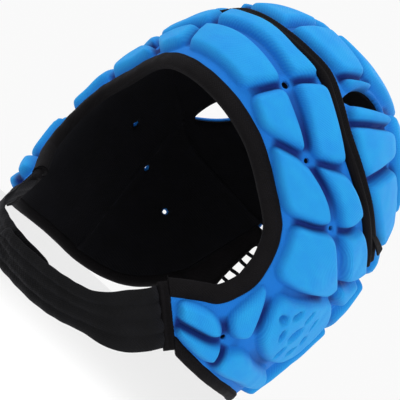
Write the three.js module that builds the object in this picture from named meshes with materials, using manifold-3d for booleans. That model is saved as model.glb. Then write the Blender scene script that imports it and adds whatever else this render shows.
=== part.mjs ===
// A rugby scrum cap: foam panels in blue knit, bound and piped in black, with a padded chin strap.
// Millimetres, +Z up. The face looks along -Y and the wearer's left is +X.
// The origin is the inside of the crown's top, where a head meets the lining.
import * as THREE from 'three';
import { mergeVertices } from 'three/addons/utils/BufferGeometryUtils.js';
import Module from 'manifold-3d';

const wasm = await Module();
wasm.setup();

// Head form: the inner face of the foam, measured from a centre at ear level.
const HALF_WIDTH = 95.2;
const FRONT_DEPTH = 90.4;
const REAR_DEPTH = 101.7;
const CROWN_HEIGHT = 125.8;
const DOME_POWER = 2.28;         // 2 is an ellipse, more is a squarer shoulder
const NECK_DEPTH = 80;           // where the neck draw-in below is measured
const NECK_DRAW_IN = 0.09;       // share by which the sides close at NECK_DEPTH
const EGG_SHAPE = 0.058;         // share by which the plan narrows beside the forehead
const FLAT_BACK = 0.055;         // share by which the back is flattened
const FRONT_LEAN = -0.027;       // these three shares bend the dome as it rises
const SIDE_SQUEEZE = 0.034;
const TEMPLE_BULGE = 0.031;

// Cloth and foam, as lifts above the head form.
const LINING = 1.2;
const CLEARANCE = 0.35;          // gap kept between neighbouring pieces
const FOAM_BASE = 3.2;           // foam left under the moulded channels
const PAD_HEIGHT = 9;            // top of a pad
const PAD_SHOULDER = 8;          // height where a pad's side meets its top
const PAD_SLOPE = 2.4;           // how far a pad's side leans in
const PAD_ROOT = -0.5;           // lift from which a pad grows inside the foam base
const BINDING_OUT = 4.6;
const BINDING_IN = 2.4;
const FACE_BINDING_WIDTH = 10;
const NECK_BINDING_WIDTH = 7.5;
const PIPING_WIDTH = 6;
const PIPING_HEIGHT = 5.6;
const SEAM_GAP = 0.8;
const NECK_GAP = 0.7;            // between the neck binding and the foam that it edges

// Openings.
const VENT_DIAMETER = 3.6;
const EAR_DENT_DEPTH = 4.5;

// Chin strap.
const STRAP_WIDTH = 28;
const STRAP_THICKNESS = 5;
const STRAP_ROOT_WIDTH = 36;
const STRAP_DROP = 52;           // from the roots to the bottom of the loop, along its fall
const STRAP_FALL = 40;           // slope of the loop below the level, in degrees
const STRAP_POWER = 2.3;         // 2 is an ellipse
const STRAP_END_TURN = 112;      // where the long strap ends past the chin, of 180
const TAB_END_TURN = 78;         // where the tab ends under the long strap
const TAB_THICKNESS = 3.2;
const TAB_NARROWER = 2;
const ROOT_BAND_HEIGHT = 40;
const STRAP_STEPS = 16;
const TAB_STEPS = 11;
const ROOT_BAND_WIDTH = 6;
const ROOT_BAND_THICKNESS = 3.6;
const STRAP_START = ROOT_BAND_WIDTH + 2 * CLEARANCE;

// Lacing at the back.
const LACE_DIAMETER = 2.6;
const LACE_SIDES = 8;
const LACE_CROSSINGS = 6;
const LACE_FOOT_LAT = -15;
const LACE_TOP_LAT = 9;
const LACE_TURN = 2.2;           // height of a turn on the binding, in degrees
const LACE_FROM_LON = 160;
const LACE_STEPS = 34;
const LACE_LOOP_DROP = 34;
const LACE_LOOP_BACK = 3;
const LACE_LOOP_START = 2.2;
const LOOP_STEPS = 18;

// Mesh fineness.
const CELL = 19;
const GENTLE_TURN = 84;          // corners that turn by less stay single points, in degrees

const BLUE = 0x1e86e0;
const BLACK = 0x1c1a1e;
const LACE_BLACK = 0x121214;

const rad = THREE.MathUtils.degToRad;
const originHeight = CROWN_HEIGHT - CLEARANCE - LINING;

function direction(lon, lat) {
  const a = rad(lon);
  const b = rad(lat);
  return new THREE.Vector3(Math.cos(b) * Math.sin(a), -Math.cos(b) * Math.cos(a), Math.sin(b));
}

// Distance from the head's centre to the head form. lon 0 is the forehead, positive to the wearer's left.
function headRadius(lon, lat) {
  const d = direction(lon, lat);
  const a = rad(lon);
  const c = Math.cos(rad(lat));
  const s = Math.sin(rad(lat));
  const q = Math.hypot(d.x / HALF_WIDTH, d.y / (d.y < 0 ? FRONT_DEPTH : REAR_DEPTH));
  let r;
  if (d.z >= 0) {
    r = (q ** DOME_POWER + (d.z / CROWN_HEIGHT) ** DOME_POWER) ** (-1 / DOME_POWER);
  } else {
    const k = NECK_DRAW_IN * (d.z / NECK_DEPTH) ** 2 + 1e-12;
    r = (-q + Math.sqrt(q * q + 4 * k)) / (2 * k);
  }
  const plan = EGG_SHAPE * Math.cos(3 * a) * c ** 3 + FLAT_BACK * Math.cos(5 * a) * c ** 5;
  const bulge = TEMPLE_BULGE * Math.cos(3 * a) * c * c;
  const lean = FRONT_LEAN * Math.cos(a) + SIDE_SQUEEZE * Math.cos(2 * a) * c + bulge;
  return r * (1 + plan + s * c * lean);
}

// A point of the head form, lifted along its normal.
function onHead(lon, lat, lift = 0) {
  const at = (x, y) => direction(x, y).multiplyScalar(headRadius(x, y));
  const p = at(lon, lat);
  const step = 0.3;
  const normal = new THREE.Vector3(0, 0, 1);
  if (lat < 89.5) {
    const east = at(lon + step, lat).sub(at(lon - step, lat));
    const north = at(lon, lat + step).sub(at(lon, lat - step));
    normal.crossVectors(east, north).normalize();
  }
  return p.addScaledVector(normal, lift);
}

function lonLat(v) {
  const lon = THREE.MathUtils.radToDeg(Math.atan2(v.x, -v.y));
  const lat = THREE.MathUtils.radToDeg(Math.asin(v.z / v.length()));
  return [lon, lat];
}

// Curves over the head are tables of [lon, lat] rows on the wearer's left; mirrored for the right.
const mirrored = (rows) => rows.map(([lon, lat]) => [-lon, lat]);

// Smooth course through table rows, read at t from 0 to 1 by row number.
function course(rows) {
  const points = rows.map(([lon, lat]) => new THREE.Vector3(lon, lat, 0));
  const curve = new THREE.CatmullRomCurve3(points, false, 'centripetal');
  return (t) => {
    const p = curve.getPoint(THREE.MathUtils.clamp(t, 0, 1));
    return [p.x, p.y];
  };
}

// Front panel: where the foam meets the face binding, and where it meets the piping, seam or neck binding.
// face lon, face lat, outer lon, outer lat
const FRONT_STATIONS = [
  [45.5, -32.5, 57.0, -38.8],
  [50.5, -29.5, 66.0, -38.6],
  [55.5, -26.5, 78.0, -38.4],
  [60.0, -23.5, 92.0, -38.3],
  [63.0, -18.5, 106.0, -38.2],
  [65.0, -11.5, 120.5, -38.0],
  [64.5, -4.5, 120.8, -22.0],
  [63.0, 1.5, 120.6, -6.0],
  [61.0, 6.5, 120.0, 9.0],
  [58.0, 11.0, 118.6, 23.0],
  [53.0, 15.5, 106.5, 27.9],
  [47.0, 19.8, 94.0, 31.8],
  [40.0, 24.0, 80.0, 37.0],
  [32.0, 27.3, 68.5, 42.3],
  [24.0, 29.0, 58.0, 47.0],
  [16.0, 29.8, 46.0, 53.0],
  [8.0, 30.0, 33.5, 57.2],
  [0.0, 30.0, 17.0, 57.6],
];

// Crown seam all the way round, one lat for each lon, on the wearer's left.
// lon, lat
const CROWN_SEAM = [
  [0, 57.4], [17, 57.6], [33.5, 57.2], [46, 53], [58, 47], [68.5, 42.3], [80, 37], [94, 31.8], [106.5, 27.9],
  [118.6, 23], [124, 20.4], [131, 18], [138, 16.6], [153, 15.6], [166, 15], [180, 14.7],
];

// Rear panel: crown seam above, neck binding below, from the side seam to the lacing.
// top lon, top lat, bottom lon, bottom lat
const REAR_STATIONS = [
  [119.2, 22.4, 121.6, -38.0],
  [125.0, 19.6, 126.0, -37.6],
  [132.0, 17.4, 132.0, -36.8],
  [139.0, 16.2, 138.0, -35.6],
  [148.0, 15.5, 144.5, -33.6],
  [157.0, 15.2, 150.5, -30.4],
  [166.0, 14.8, 157.0, -25.0],
  [174.0, 14.6, 163.0, -18.0],
];

// The free edge round the neck and up the lacing, at the outer side of its binding.
// lon, lat
const NECK_EDGE = [
  [56.2, -38.7], [66, -38.6], [78, -38.4], [92, -38.3], [106, -38.2], [120.8, -38], [126, -37.6], [132, -36.8],
  [138, -35.6], [144.5, -33.6], [150.5, -30.4], [157, -25], [163, -18], [166.1, -9], [169.9, 2], [173.8, 13.6],
];

// Pads, on the wearer's left and mirrored, with their corners in lon and lat. A centre pad states both sides.
const CENTRE_PADS = [
  [[-21.5, 43.5], [21.5, 43.5], [13.5, 33.4], [-13.5, 33.4]],
  [[-23.5, 47.5], [23.5, 47.5], [31, 54.4], [15, 54.8], [-15, 54.8], [-31, 54.4]],
];
const FRONT_PADS = [
  [[24.5, 42.5], [34, 40], [42, 37], [47, 34.3], [38, 32.3], [28, 30], [19, 33.2]],
  [[27, 46.5], [36, 43.8], [44, 40.2], [51.5, 35.5], [58, 37], [64, 39.6], [55, 45.6], [45, 50.6],
   [37, 53.5]],
  [[36.5, 28.2], [43, 30], [51, 31], [60, 28.5], [67, 25.3], [72, 21.5], [69, 18.7], [62, 16.3],
   [57, 15], [49, 20.5], [42, 25.2]],
  [[55.5, 32.8], [61, 34.6], [67, 36.6], [75, 34.6], [84, 30.9], [81.5, 25.3], [77, 23.3], [73, 26.8],
   [65.5, 30.3]],
  [[62, 12.5], [68, 15], [73, 17.8], [76.5, 18.2], [81, 15.5], [87, 12], [98, 8.6], [95, 3.5],
   [86, 0.5], [78, -2], [70, -4], [67, -2.5], [65.5, 4]],
  [[79.5, 21], [84, 23.8], [88.5, 27.6], [98, 25.8], [108, 22.8], [115.5, 20], [110, 15.5],
   [103.5, 12.5], [94, 15.8], [86, 18.7]],
  [[105, 10], [111.5, 12], [118, 16.2], [118.3, 5.5], [108.5, 7]],
  [[67.4, -9.5], [70.2, -12.5], [73.8, -19], [76.3, -23.8], [73, -26.5], [69.5, -26.3], [66, -23.5],
   [66.8, -17]],
  [[49.5, -31.5], [55.5, -28.6], [61.5, -27], [66, -28], [68.3, -29.5], [66, -31.3], [60, -33],
   [53.5, -34.8]],
  [[55, -36.3], [60, -35], [67, -33.3], [71, -31.5], [73, -33.5], [74, -36], [70, -36.9], [63, -37.3],
   [57.5, -37.5]],
  [[74.5, -31.5], [78, -28.5], [83, -28], [90, -29], [99, -29], [110, -28], [117, -29], [118, -33],
   [106, -35], [92, -35.3], [83, -36.4], [77, -36.6], [75.5, -34.5]],
];
const EAR_DOME = [
  [73.5, -8], [80, -6.3], [88, -3], [96, 1], [104, 4], [112, 2.5], [118, -0.5], [118.5, -10],
   [117, -18], [110, -23], [100, -25],
  [90, -24.5], [82, -22.5], [77.5, -18.5], [74.5, -13],
];
// lon, lat, length and width of a dent in the ear dome, and its turn from the level
const EAR_DENTS = [
  [93.5, -13.5, 12, 8, 60], [80, -12.5, 7, 5, 10], [84.5, -8.5, 8, 4, 60], [92.5, -6, 8, 5, 95],
   [102, -6.5, 8, 4, 120],
  [105.5, -12.5, 8, 5, 170], [103.5, -18, 8, 4, 50], [94.5, -20.8, 8, 5, 95], [85.5, -16.5, 8, 4, 130],
];
// Crown pads are charted by their distance from the top, in degrees: across, back
const CROWN_PADS = [
  [[2, -29.2], [15.5, -24], [18.8, -21.2], [18.3, -12], [2, -13.5]],
  [[20.4, -21.6], [22.6, -20.2], [21.3, -12], [20.3, -9]],
  [[2, -10.6], [18, -9.2], [21.4, 1.5], [20.6, 12], [2, 12]],
  [[28.6, -21], [28.2, -10], [27.2, -2.4], [29.2, -1.4], [31.6, -10], [32.4, -19.8]],
  [[34.6, -20.6], [33.4, -10], [31, 0], [37.3, 2.6], [42.5, -4], [47.6, -11.6], [42.9, -16.6]],
  [[50.4, -9.2], [45.5, -2.5], [39.9, 4.6], [44.4, 14.5], [46.2, 25.6], [54, 28.4], [56, 15], [55.3, 4]],
  [[24.4, 2], [31, 3.2], [38, 7.6], [42, 17], [43.2, 26], [36, 27.4], [24.6, 28], [23.6, 14]],
  [[2, 15], [20.6, 15], [21.8, 29], [14, 34], [2, 34]],
  [[17, 37.5], [27, 39.5], [37, 44.4], [38.4, 56.4], [30, 64], [18.5, 70], [20.6, 52]],
  [[40.2, 43.6], [52, 38.4], [54, 42.4], [49, 50.8], [41.4, 56.8]],
];
const CROWN_REAR_PAD = [[-13, 37], [13, 37], [17, 52], [14.6, 70.6], [-14.6, 70.6], [-17, 52]];
// Slits in the crown on the same chart: front end and rear end, and half the width at the middle
const CROWN_SLITS = [
  [26.2, -23.2, 25.2, -1.4, 3.1],
  [55, 34.2, 28, 34.8, 4.8],
];
const REAR_PADS = [
  [[123.8, 17.2], [137, 13.4], [138.3, -3.4], [131, -0.5], [124.2, 2]],
  [[141.2, 13], [158, 12.4], [170.5, 11.6], [167.5, -1], [163.4, -10.6], [152, -8], [142.4, -5.2]],
  [[124.2, -2.2], [131, -3.6], [138, -8], [136.4, -33], [123.6, -35.4]],
  [[141.2, -9], [150, -11], [160.2, -14.4], [155, -22.6], [147.4, -29.6], [139.6, -32]],
];
// Round vent holes where channels meet: lon, lat
const FRONT_VENTS = [[24, 45], [51, 33], [75.3, 21], [102, 9.3], [70.6, -29.3]];
const REAR_VENTS = [[122.6, 0], [140.6, -7]];

// A surface over the head is a list of [lon, lat] points and a list of triangles between them.
function gridSurface(rows, columns, point) {
  const points = [];
  const faces = [];
  for (let i = 0; i <= rows; i++) {
    for (let j = 0; j <= columns; j++) {
      points.push(point(i / rows, j / columns));
    }
  }
  for (let i = 0; i < rows; i++) {
    for (let j = 0; j < columns; j++) {
      const a = i * (columns + 1) + j;
      const b = a + columns + 1;
      faces.push([a, a + 1, b + 1], [a, b + 1, b]);
    }
  }
  return { points, faces };
}

// A dome surface from the top down columns of [lon, lat] points, one column for each stretch round it.
function polarSurface(columns) {
  const points = [[0, 90]];
  const faces = [];
  const starts = columns.map((column) => {
    points.push(...column);
    return points.length - column.length;
  });
  columns.forEach((column, j) => {
    const k = (j + 1) % columns.length;
    const depth = Math.min(column.length, columns[k].length);
    const a = starts[j];
    const b = starts[k];
    faces.push([0, a, b]);
    const right = column[0][0] < 0 || columns[k][0][0] < 0;
    for (let i = 0; i < depth - 1; i++) {
      const [p, q, r, t] = [a + i, a + i + 1, b + i + 1, b + i];
      faces.push(...(right ? [[p, q, r], [p, r, t]] : [[p, q, t], [q, r, t]]));
    }
  });
  return { points, faces };
}

// A closed solid between two lifts of a surface.
function shell({ points, faces }, low, high) {
  const count = points.length;
  const positions = [low, high].flatMap((lift) => points.flatMap(([lon, lat]) => [...onHead(lon, lat, lift)]));
  const index = [];
  const rim = new Map();
  for (const [a, b, c] of faces) {
    index.push(count + a, count + b, count + c, a, c, b);
    for (const [p, q] of [[a, b], [b, c], [c, a]]) {
      if (!rim.delete(`${q},${p}`)) {
        rim.set(`${p},${q}`, [p, q]);
      }
    }
  }
  for (const [p, q] of rim.values()) {
    index.push(count + q, count + p, p, count + q, p, q);
  }
  return solid(geometry(positions, index));
}

function geometry(positions, faces) {
  const made = new THREE.BufferGeometry();
  made.setAttribute('position', new THREE.Float32BufferAttribute(positions, 3));
  made.setIndex(faces);
  return mergeVertices(made, 1e-4);
}

function solid(made) {
  const merged = mergeVertices(made.index ? made : made.clone(), 1e-4);
  const vertProperties = new Float32Array(merged.attributes.position.array);
  const triVerts = new Uint32Array(merged.index.array);
  const mesh = new wasm.Mesh({ numProp: 3, vertProperties, triVerts });
  const body = new wasm.Manifold(mesh);
  if (body.volume() >= 0) {
    return body;
  }
  return new wasm.Manifold(new wasm.Mesh({ numProp: 3, vertProperties, triVerts: turned(triVerts) }));
}

function turned(triVerts) {
  const out = new Uint32Array(triVerts);
  for (let i = 0; i < out.length; i += 3) {
    [out[i], out[i + 1]] = [out[i + 1], out[i]];
  }
  return out;
}

function fromSolid(body) {
  const { vertProperties, triVerts } = body.getMesh();
  const made = new THREE.BufferGeometry();
  made.setAttribute('position', new THREE.BufferAttribute(new Float32Array(vertProperties), 3));
  made.setIndex(new THREE.BufferAttribute(new Uint32Array(triVerts), 1));
  return made;
}

// Flat chart about a direction, in which a pad's outline is worked in millimetres.
function chart(centre) {
  const size = headRadius(...lonLat(centre));
  const up = Math.abs(centre.z) > 0.9 ? new THREE.Vector3(0, 1, 0) : new THREE.Vector3(0, 0, 1);
  const east = new THREE.Vector3().crossVectors(up, centre).normalize();
  const north = new THREE.Vector3().crossVectors(centre, east);
  return {
    flatten: (d) => new THREE.Vector2(d.dot(east), d.dot(north)).multiplyScalar(size / d.dot(centre)),
    spread: (p) => lonLat(centre.clone().multiplyScalar(size).addScaledVector(east, p.x).addScaledVector(north, p.y)),
  };
}

// Cut each sharp corner of an outline, so that it reads as rounded.
function rounded(points, reach) {
  const out = [];
  points.forEach((p, i) => {
    const before = points[(i + points.length - 1) % points.length];
    const after = points[(i + 1) % points.length];
    const turn = Math.abs(p.clone().sub(before).angleTo(after.clone().sub(p)));
    if (turn < rad(GENTLE_TURN)) {
      out.push(p);
      return;
    }
    for (const q of [before, after]) {
      out.push(p.clone().lerp(q, Math.min(reach / p.distanceTo(q), 0.3)));
    }
  });
  return out;
}

function centroid(points) {
  let area = 0;
  const sum = new THREE.Vector2();
  points.forEach((p, i) => {
    const q = points[(i + 1) % points.length];
    const part = p.cross(q) / 2;
    area += part;
    sum.addScaledVector(p.clone().add(q), part / 3);
  });
  return sum.divideScalar(area);
}

// A block on the head: rings of an outline by inset and lift, closed by a point at its heart.
function padBlock(corners, cornerReach, profile, heartLift) {
  const dirs = corners.map(([lon, lat]) => direction(lon, lat));
  const middle = dirs.reduce((sum, d) => sum.add(d), new THREE.Vector3()).normalize();
  const { flatten, spread } = chart(middle);
  const outline = rounded(dirs.map(flatten), cornerReach);
  const heart = centroid(outline);
  const reach = outline.reduce((sum, p) => sum + p.distanceTo(heart), 0) / outline.length;
  const positions = [];
  const faces = [];
  const count = outline.length;
  for (const [inset, lift] of profile) {
    for (const p of outline) {
      positions.push(...onHead(...spread(heart.clone().lerp(p, 1 - inset / reach)), lift));
    }
  }
  positions.push(...onHead(...spread(heart), profile[0][1]));
  positions.push(...onHead(...spread(heart), heartLift));
  const low = profile.length * count;
  for (let j = 0; j < count; j++) {
    const k = (j + 1) % count;
    faces.push(low, k, j);
    for (let i = 0; i < profile.length - 1; i++) {
      faces.push(i * count + j, i * count + k, (i + 1) * count + k);
      faces.push(i * count + j, (i + 1) * count + k, (i + 1) * count + j);
    }
    faces.push(low - count + j, low - count + k, low + 1);
  }
  return solid(geometry(positions, faces));
}

const PAD_CORNER = 3.2;
const padProfile = [[0, PAD_ROOT], [PAD_SLOPE, PAD_SHOULDER]];
const padOn = (corners) => padBlock(corners, PAD_CORNER, padProfile, PAD_HEIGHT);

// Distances on the crown's chart to lon and lat.
function fromTop([across, back]) {
  return [THREE.MathUtils.radToDeg(Math.atan2(across, -back)), 90 - Math.hypot(across, back)];
}

// The same solid on the wearer's right, and both together.
const mirrorBody = (body) => solid(fromSolid(body).scale(-1, 1, 1));
const pair = (body) => [body, mirrorBody(body)];

// A straight-sided plug through the foam and lining, to cut a hole or slit.
function plug(outline, low, high) {
  return padBlock(outline, 0.01, [[0, low], [0, high]], high);
}

function roundOutline([lon, lat], diameter, sides = 4) {
  const centre = direction(lon, lat);
  const { spread } = chart(centre);
  return Array.from({ length: sides }, (_, i) => {
    const a = (2 * Math.PI * i) / sides;
    return spread(new THREE.Vector2(Math.cos(a), Math.sin(a)).multiplyScalar(diameter / 2));
  });
}

function slitOutline([x0, y0, x1, y1, half]) {
  const outline = [];
  const steps = 4;
  for (const side of [1, -1]) {
    for (let i = 0; i < steps; i++) {
      const t = side > 0 ? i / steps : 1 - i / steps;
      const out = (side * half * Math.sin(Math.PI * t)) / Math.hypot(x1 - x0, y1 - y0);
      outline.push(fromTop([x0 + (x1 - x0) * t - out * (y1 - y0), y0 + (y1 - y0) * t + out * (x1 - x0)]));
    }
  }
  return outline;
}

function dentOutline([lon, lat, length, width, turn]) {
  const { spread } = chart(direction(lon, lat));
  const sides = 5;
  return Array.from({ length: sides }, (_, i) => {
    const a = (2 * Math.PI * i) / sides;
    const p = new THREE.Vector2((Math.cos(a) * length) / 2, (Math.sin(a) * width) / 2);
    return spread(p.rotateAround(new THREE.Vector2(), rad(turn)));
  });
}

const THROUGH_LOW = -6;
const THROUGH_HIGH = PAD_HEIGHT + 6;
const ventPlugs = (vents) => vents.map((at) => plug(roundOutline(at, VENT_DIAMETER), THROUGH_LOW, THROUGH_HIGH));
const slitPlugs = () => CROWN_SLITS.map((slit) => plug(slitOutline(slit), THROUGH_LOW, THROUGH_HIGH)).flatMap(pair);

// Move a point of a [lon, lat] curve sideways over the head by a distance in mm.
function aside([lon, lat], [nextLon, nextLat], distance) {
  const p = onHead(lon, lat);
  const along = onHead(nextLon, nextLat).sub(p);
  const normal = onHead(lon, lat, 1).sub(p);
  const across = new THREE.Vector3().crossVectors(normal, along).normalize();
  return lonLat(p.addScaledVector(across, distance));
}

// Equal steps along a course, in mm.
function evenCourse(rows, cell = CELL) {
  const read = course(rows);
  const fine = Array.from({ length: 201 }, (_, i) => read(i / 200));
  const lengths = [0];
  for (let i = 1; i < fine.length; i++) {
    lengths.push(lengths[i - 1] + onHead(...fine[i]).distanceTo(onHead(...fine[i - 1])));
  }
  const total = lengths[lengths.length - 1];
  const count = Math.max(2, Math.round(total / cell));
  return Array.from({ length: count + 1 }, (_, i) => {
    const want = (total * i) / count;
    let k = lengths.findIndex((l) => l >= want - 1e-9);
    k = Math.max(1, k);
    const t = (want - lengths[k - 1]) / (lengths[k] - lengths[k - 1]);
    const [lon, lat] = fine[k - 1];
    return [lon + (fine[k][0] - lon) * t, lat + (fine[k][1] - lat) * t];
  });
}

// A band that follows a course, from one side offset to the other and between two lifts, with eased corners.
function band(path, from, to, low, high) {
  const first = Math.min(from, to);
  const last = Math.max(from, to);
  const round = Math.min(1.2, (last - first) / 4, (high - low) / 3);
  const section = [
    [first, low], [first, high - round], [first + round, high], [last - round, high], [last, high - round], [last, low],
  ];
  const positions = [];
  const rows = path.length;
  path.forEach((at, i) => {
    const next = i < rows - 1 ? path[i + 1] : at;
    const before = i > 0 ? path[i - 1] : at;
    for (const [side, lift] of section) {
      const ahead = [at[0] + next[0] - before[0], at[1] + next[1] - before[1]];
      positions.push(...onHead(...aside(at, ahead, side), lift));
    }
  });
  const n = section.length;
  const faces = [];
  for (let i = 0; i < rows - 1; i++) {
    for (let j = 0; j < n; j++) {
      const k = (j + 1) % n;
      const [a, b, c, d] = [i * n + j, i * n + k, (i + 1) * n + k, (i + 1) * n + j];
      faces.push(...(j < n / 2 ? [a, b, c, a, c, d] : [a, b, d, b, c, d]));
    }
  }
  const last0 = (rows - 1) * n;
  for (let j = 1; j < n - 1; j++) {
    faces.push(0, j + 1, j);
    faces.push(last0, last0 + j, last0 + j + 1);
  }
  return solid(geometry(positions, faces));
}

// Panel surface between two courses read together by row number, carried past both by a margin.
function panelSurface(stations, margin, alongCells, acrossCells) {
  const inner = course(stations.map((row) => [row[0], row[1]]));
  const outer = course(stations.map((row) => [row[2], row[3]]));
  return gridSurface(alongCells, acrossCells, (u, v) => {
    const a = inner(u);
    const b = outer(u);
    const length = onHead(...a).distanceTo(onHead(...b));
    const share = ((length + 2 * margin) * v - margin) / length;
    return [a[0] + (b[0] - a[0]) * share, a[1] + (b[1] - a[1]) * share];
  });
}

// The front panel's stations from the right cheek, over the forehead, to the left cheek.
function wholeFront() {
  const left = FRONT_STATIONS.slice().reverse();
  const right = FRONT_STATIONS.map(([a, b, c, d]) => [-a, b, -c, d]);
  const middle = [0, 30, 0, 57.4];
  return [...right.slice(0, -1), middle, ...left.slice(1)];
}

// Where the strap is sewn to the cheek on the wearer's left.
const SEAM_TOP = FRONT_STATIONS[0].slice(0, 2);
const SEAM_FOOT = FRONT_STATIONS[0].slice(2, 4);
const seamTop = onHead(...SEAM_TOP);
const seamFoot = onHead(...SEAM_FOOT);
const seamAcross = seamFoot.clone().sub(seamTop).normalize();
const seamMid = [(SEAM_TOP[0] + SEAM_FOOT[0]) / 2, (SEAM_TOP[1] + SEAM_FOOT[1]) / 2];
const seamOut = onHead(...seamMid, 1).sub(onHead(...seamMid));
seamOut.addScaledVector(seamAcross, -seamOut.dot(seamAcross)).normalize();
const seamForward = new THREE.Vector3().crossVectors(seamAcross, seamOut).normalize();
const seamMiddle = seamTop.clone().lerp(seamFoot, 0.5).addScaledVector(seamOut, (BINDING_OUT - BINDING_IN) / 2);
const mirrorX = (v) => new THREE.Vector3(-v.x, v.y, v.z);

const OVERLAP = 2;               // panels start this far past their edges and are trimmed back
const TRIM_WIDTH = 14;
const TRIM_LOW = -6;
const TRIM_HIGH = PAD_HEIGHT + 5;
const TRIM_BEYOND = 8;           // trimming runs this far past the ends of a seam
const PANEL_LOW = -3;
const PIPING_HALF = PIPING_WIDTH / 2 + CLEARANCE;
const FRONT_ALONG = 28;
const FRONT_ACROSS = 4;
const CROWN_ROUND = 24;
const CROWN_RINGS = 4;
const REAR_CELLS = 4;
const CROWN_CORNER = 118.6;
const LINING_DROPS = 4;
const LINING_RINGS = 3;
const LINING_HEM = 1.5;          // the lining stops this far short of the bindings
const HOLLOW_LOW = -14;

// Seam and edge paths on the wearer's left, or over the top from left to right.
const overTheTop = (rows) => [...rows, ...mirrored(rows).reverse().slice(1)];
const SIDE_SEAM = [[118, 27], [118.6, 23], [120, 9], [120.8, -6], [121, -22], [121, -38], [121, -43]];
const rearSeamRows = CROWN_SEAM.filter(([lon]) => lon >= CROWN_CORNER);
const fromRight = rearSeamRows.slice(0, -1).reverse().map(([lon, lat]) => [360 - lon, lat]);
const pipingPath = evenCourse(overTheTop(CROWN_SEAM.filter(([lon]) => lon <= CROWN_CORNER).reverse()));
const facePath = evenCourse(overTheTop(FRONT_STATIONS.map(([lon, lat]) => [lon, lat])));
const rearSeamPath = evenCourse([...rearSeamRows, ...fromRight]);
const sidePath = evenCourse(SIDE_SEAM);
const neckPath = evenCourse(NECK_EDGE);

// A path with a straight run added at both ends.
function lengthened(path, distance) {
  const past = ([lon, lat], [lon2, lat2]) => {
    const share = distance / onHead(lon, lat).distanceTo(onHead(lon2, lat2));
    return [lon + (lon - lon2) * share, lat + (lat - lat2) * share];
  };
  return [past(path[0], path[1]), ...path, past(path[path.length - 1], path[path.length - 2])];
}

// Everything on one side of an edge, as a solid to cut with.
function trim(path, from, to) {
  return band(lengthened(path, TRIM_BEYOND), from, to, TRIM_LOW, TRIM_HIGH);
}
const beyondFace = (margin) => trim(facePath, -margin, TRIM_WIDTH);
const belowNeck = (margin) => trim(neckPath, -TRIM_WIDTH, margin);

// The crown seam's lat for any lon from -180 to 180.
const seamLat = (() => {
  const rows = [...mirrored(CROWN_SEAM).reverse(), ...CROWN_SEAM.slice(1)];
  return (lon) => {
    const i = Math.max(0, Math.min(rows.length - 2, rows.filter((row) => row[0] <= lon).length - 1));
    const t = (lon - rows[i][0]) / (rows[i + 1][0] - rows[i][0]);
    return rows[i][1] + (rows[i + 1][1] - rows[i][1]) * t;
  };
})();

const downTo = (lon, lat, rings) => Array.from({ length: rings }, (_, i) => [lon, 90 + ((lat - 90) * (i + 1)) / rings]);

// Lining: columns from the top to the crown seam, and from there in a bend to the free edge.
// seam lon, bend lon, bend lat, edge lon, edge lat
const LINING_STATIONS = [
  [0, 0, 44, 0, 30], [20, 16, 44, 13, 30], [40, 35, 41, 28, 28.2], [57, 52, 34, 46, 20.7],
  [70, 66, 23, 60.5, 7.5], [78, 73, 14, 64.8, -5], [84, 78, 5, 63.8, -16], [89, 79, -12, 57.5, -25.2],
  [94, 80, -26, 45.5, -32.5], [99, 88, -32, 57, -38.8], [106, 100, -10, 80, -38.4], [118.6, 119.6, -7, 120.8, -38],
  [132, 133, -10, 134, -36.4], [150, 148, -8, 147, -32], [174, 168, -2, 163, -18],
];

function innerSurface() {
  const left = LINING_STATIONS.map(([seam, bendLon, bendLat, lon, lat]) => {
    const points = [[seam, seamLat(seam)], [bendLon, bendLat], [lon, lat]].map((at) => new THREE.Vector2(...at));
    const drop = new THREE.QuadraticBezierCurve(...points).getPoints(LINING_DROPS).slice(1);
    return [...downTo(seam, seamLat(seam), LINING_RINGS), ...drop.map((p) => [p.x, p.y])];
  });
  const right = left.slice(1).reverse().map(mirrored);
  return polarSurface([...right, ...left, downTo(180, seamLat(180), LINING_RINGS)]);
}

function lining() {
  const body = shell(innerSurface(), -CLEARANCE - LINING, -CLEARANCE);
  const cuts = [
    ...ventPlugs([...FRONT_VENTS, ...REAR_VENTS]).flatMap(pair), ...slitPlugs(),
    beyondFace(LINING_HEM), ...pair(belowNeck(LINING_HEM)), ...pair(strapRootCutter(0)),
  ];
  return body.subtract(wasm.Manifold.union(cuts));
}

// The space inside the cap, to cut the foam's inner face parallel to the lining.
function hollow() {
  return wasm.Manifold.union([
    shell(innerSurface(), HOLLOW_LOW, 0),
    band(lengthened(facePath, TRIM_BEYOND), -OVERLAP, TRIM_WIDTH, HOLLOW_LOW, 0),
    ...pair(band(lengthened(neckPath, TRIM_BEYOND), -TRIM_WIDTH, OVERLAP, HOLLOW_LOW, 0)),
  ]);
}

function frontPanel() {
  const skin = shell(panelSurface(wholeFront(), OVERLAP, FRONT_ALONG, FRONT_ACROSS), PANEL_LOW, FOAM_BASE);
  const pads = [...CENTRE_PADS.map(padOn), ...[...FRONT_PADS, EAR_DOME].map(padOn).flatMap(pair)];
  const dents = EAR_DENTS.map((dent) => plug(dentOutline(dent), PAD_HEIGHT - EAR_DENT_DEPTH, THROUGH_HIGH));
  const cuts = [
    hollow(), beyondFace(CLEARANCE), trim(pipingPath, -TRIM_WIDTH, PIPING_HALF),
    ...pair(trim(sidePath, -SEAM_GAP / 2, TRIM_WIDTH)), ...pair(belowNeck(0)),
    ...pair(strapRootCutter(SEAM_GAP / 2)),
    ...dents.flatMap(pair), ...ventPlugs(FRONT_VENTS).flatMap(pair),
  ];
  return wasm.Manifold.union([skin, ...pads]).subtract(wasm.Manifold.union(cuts));
}

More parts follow.
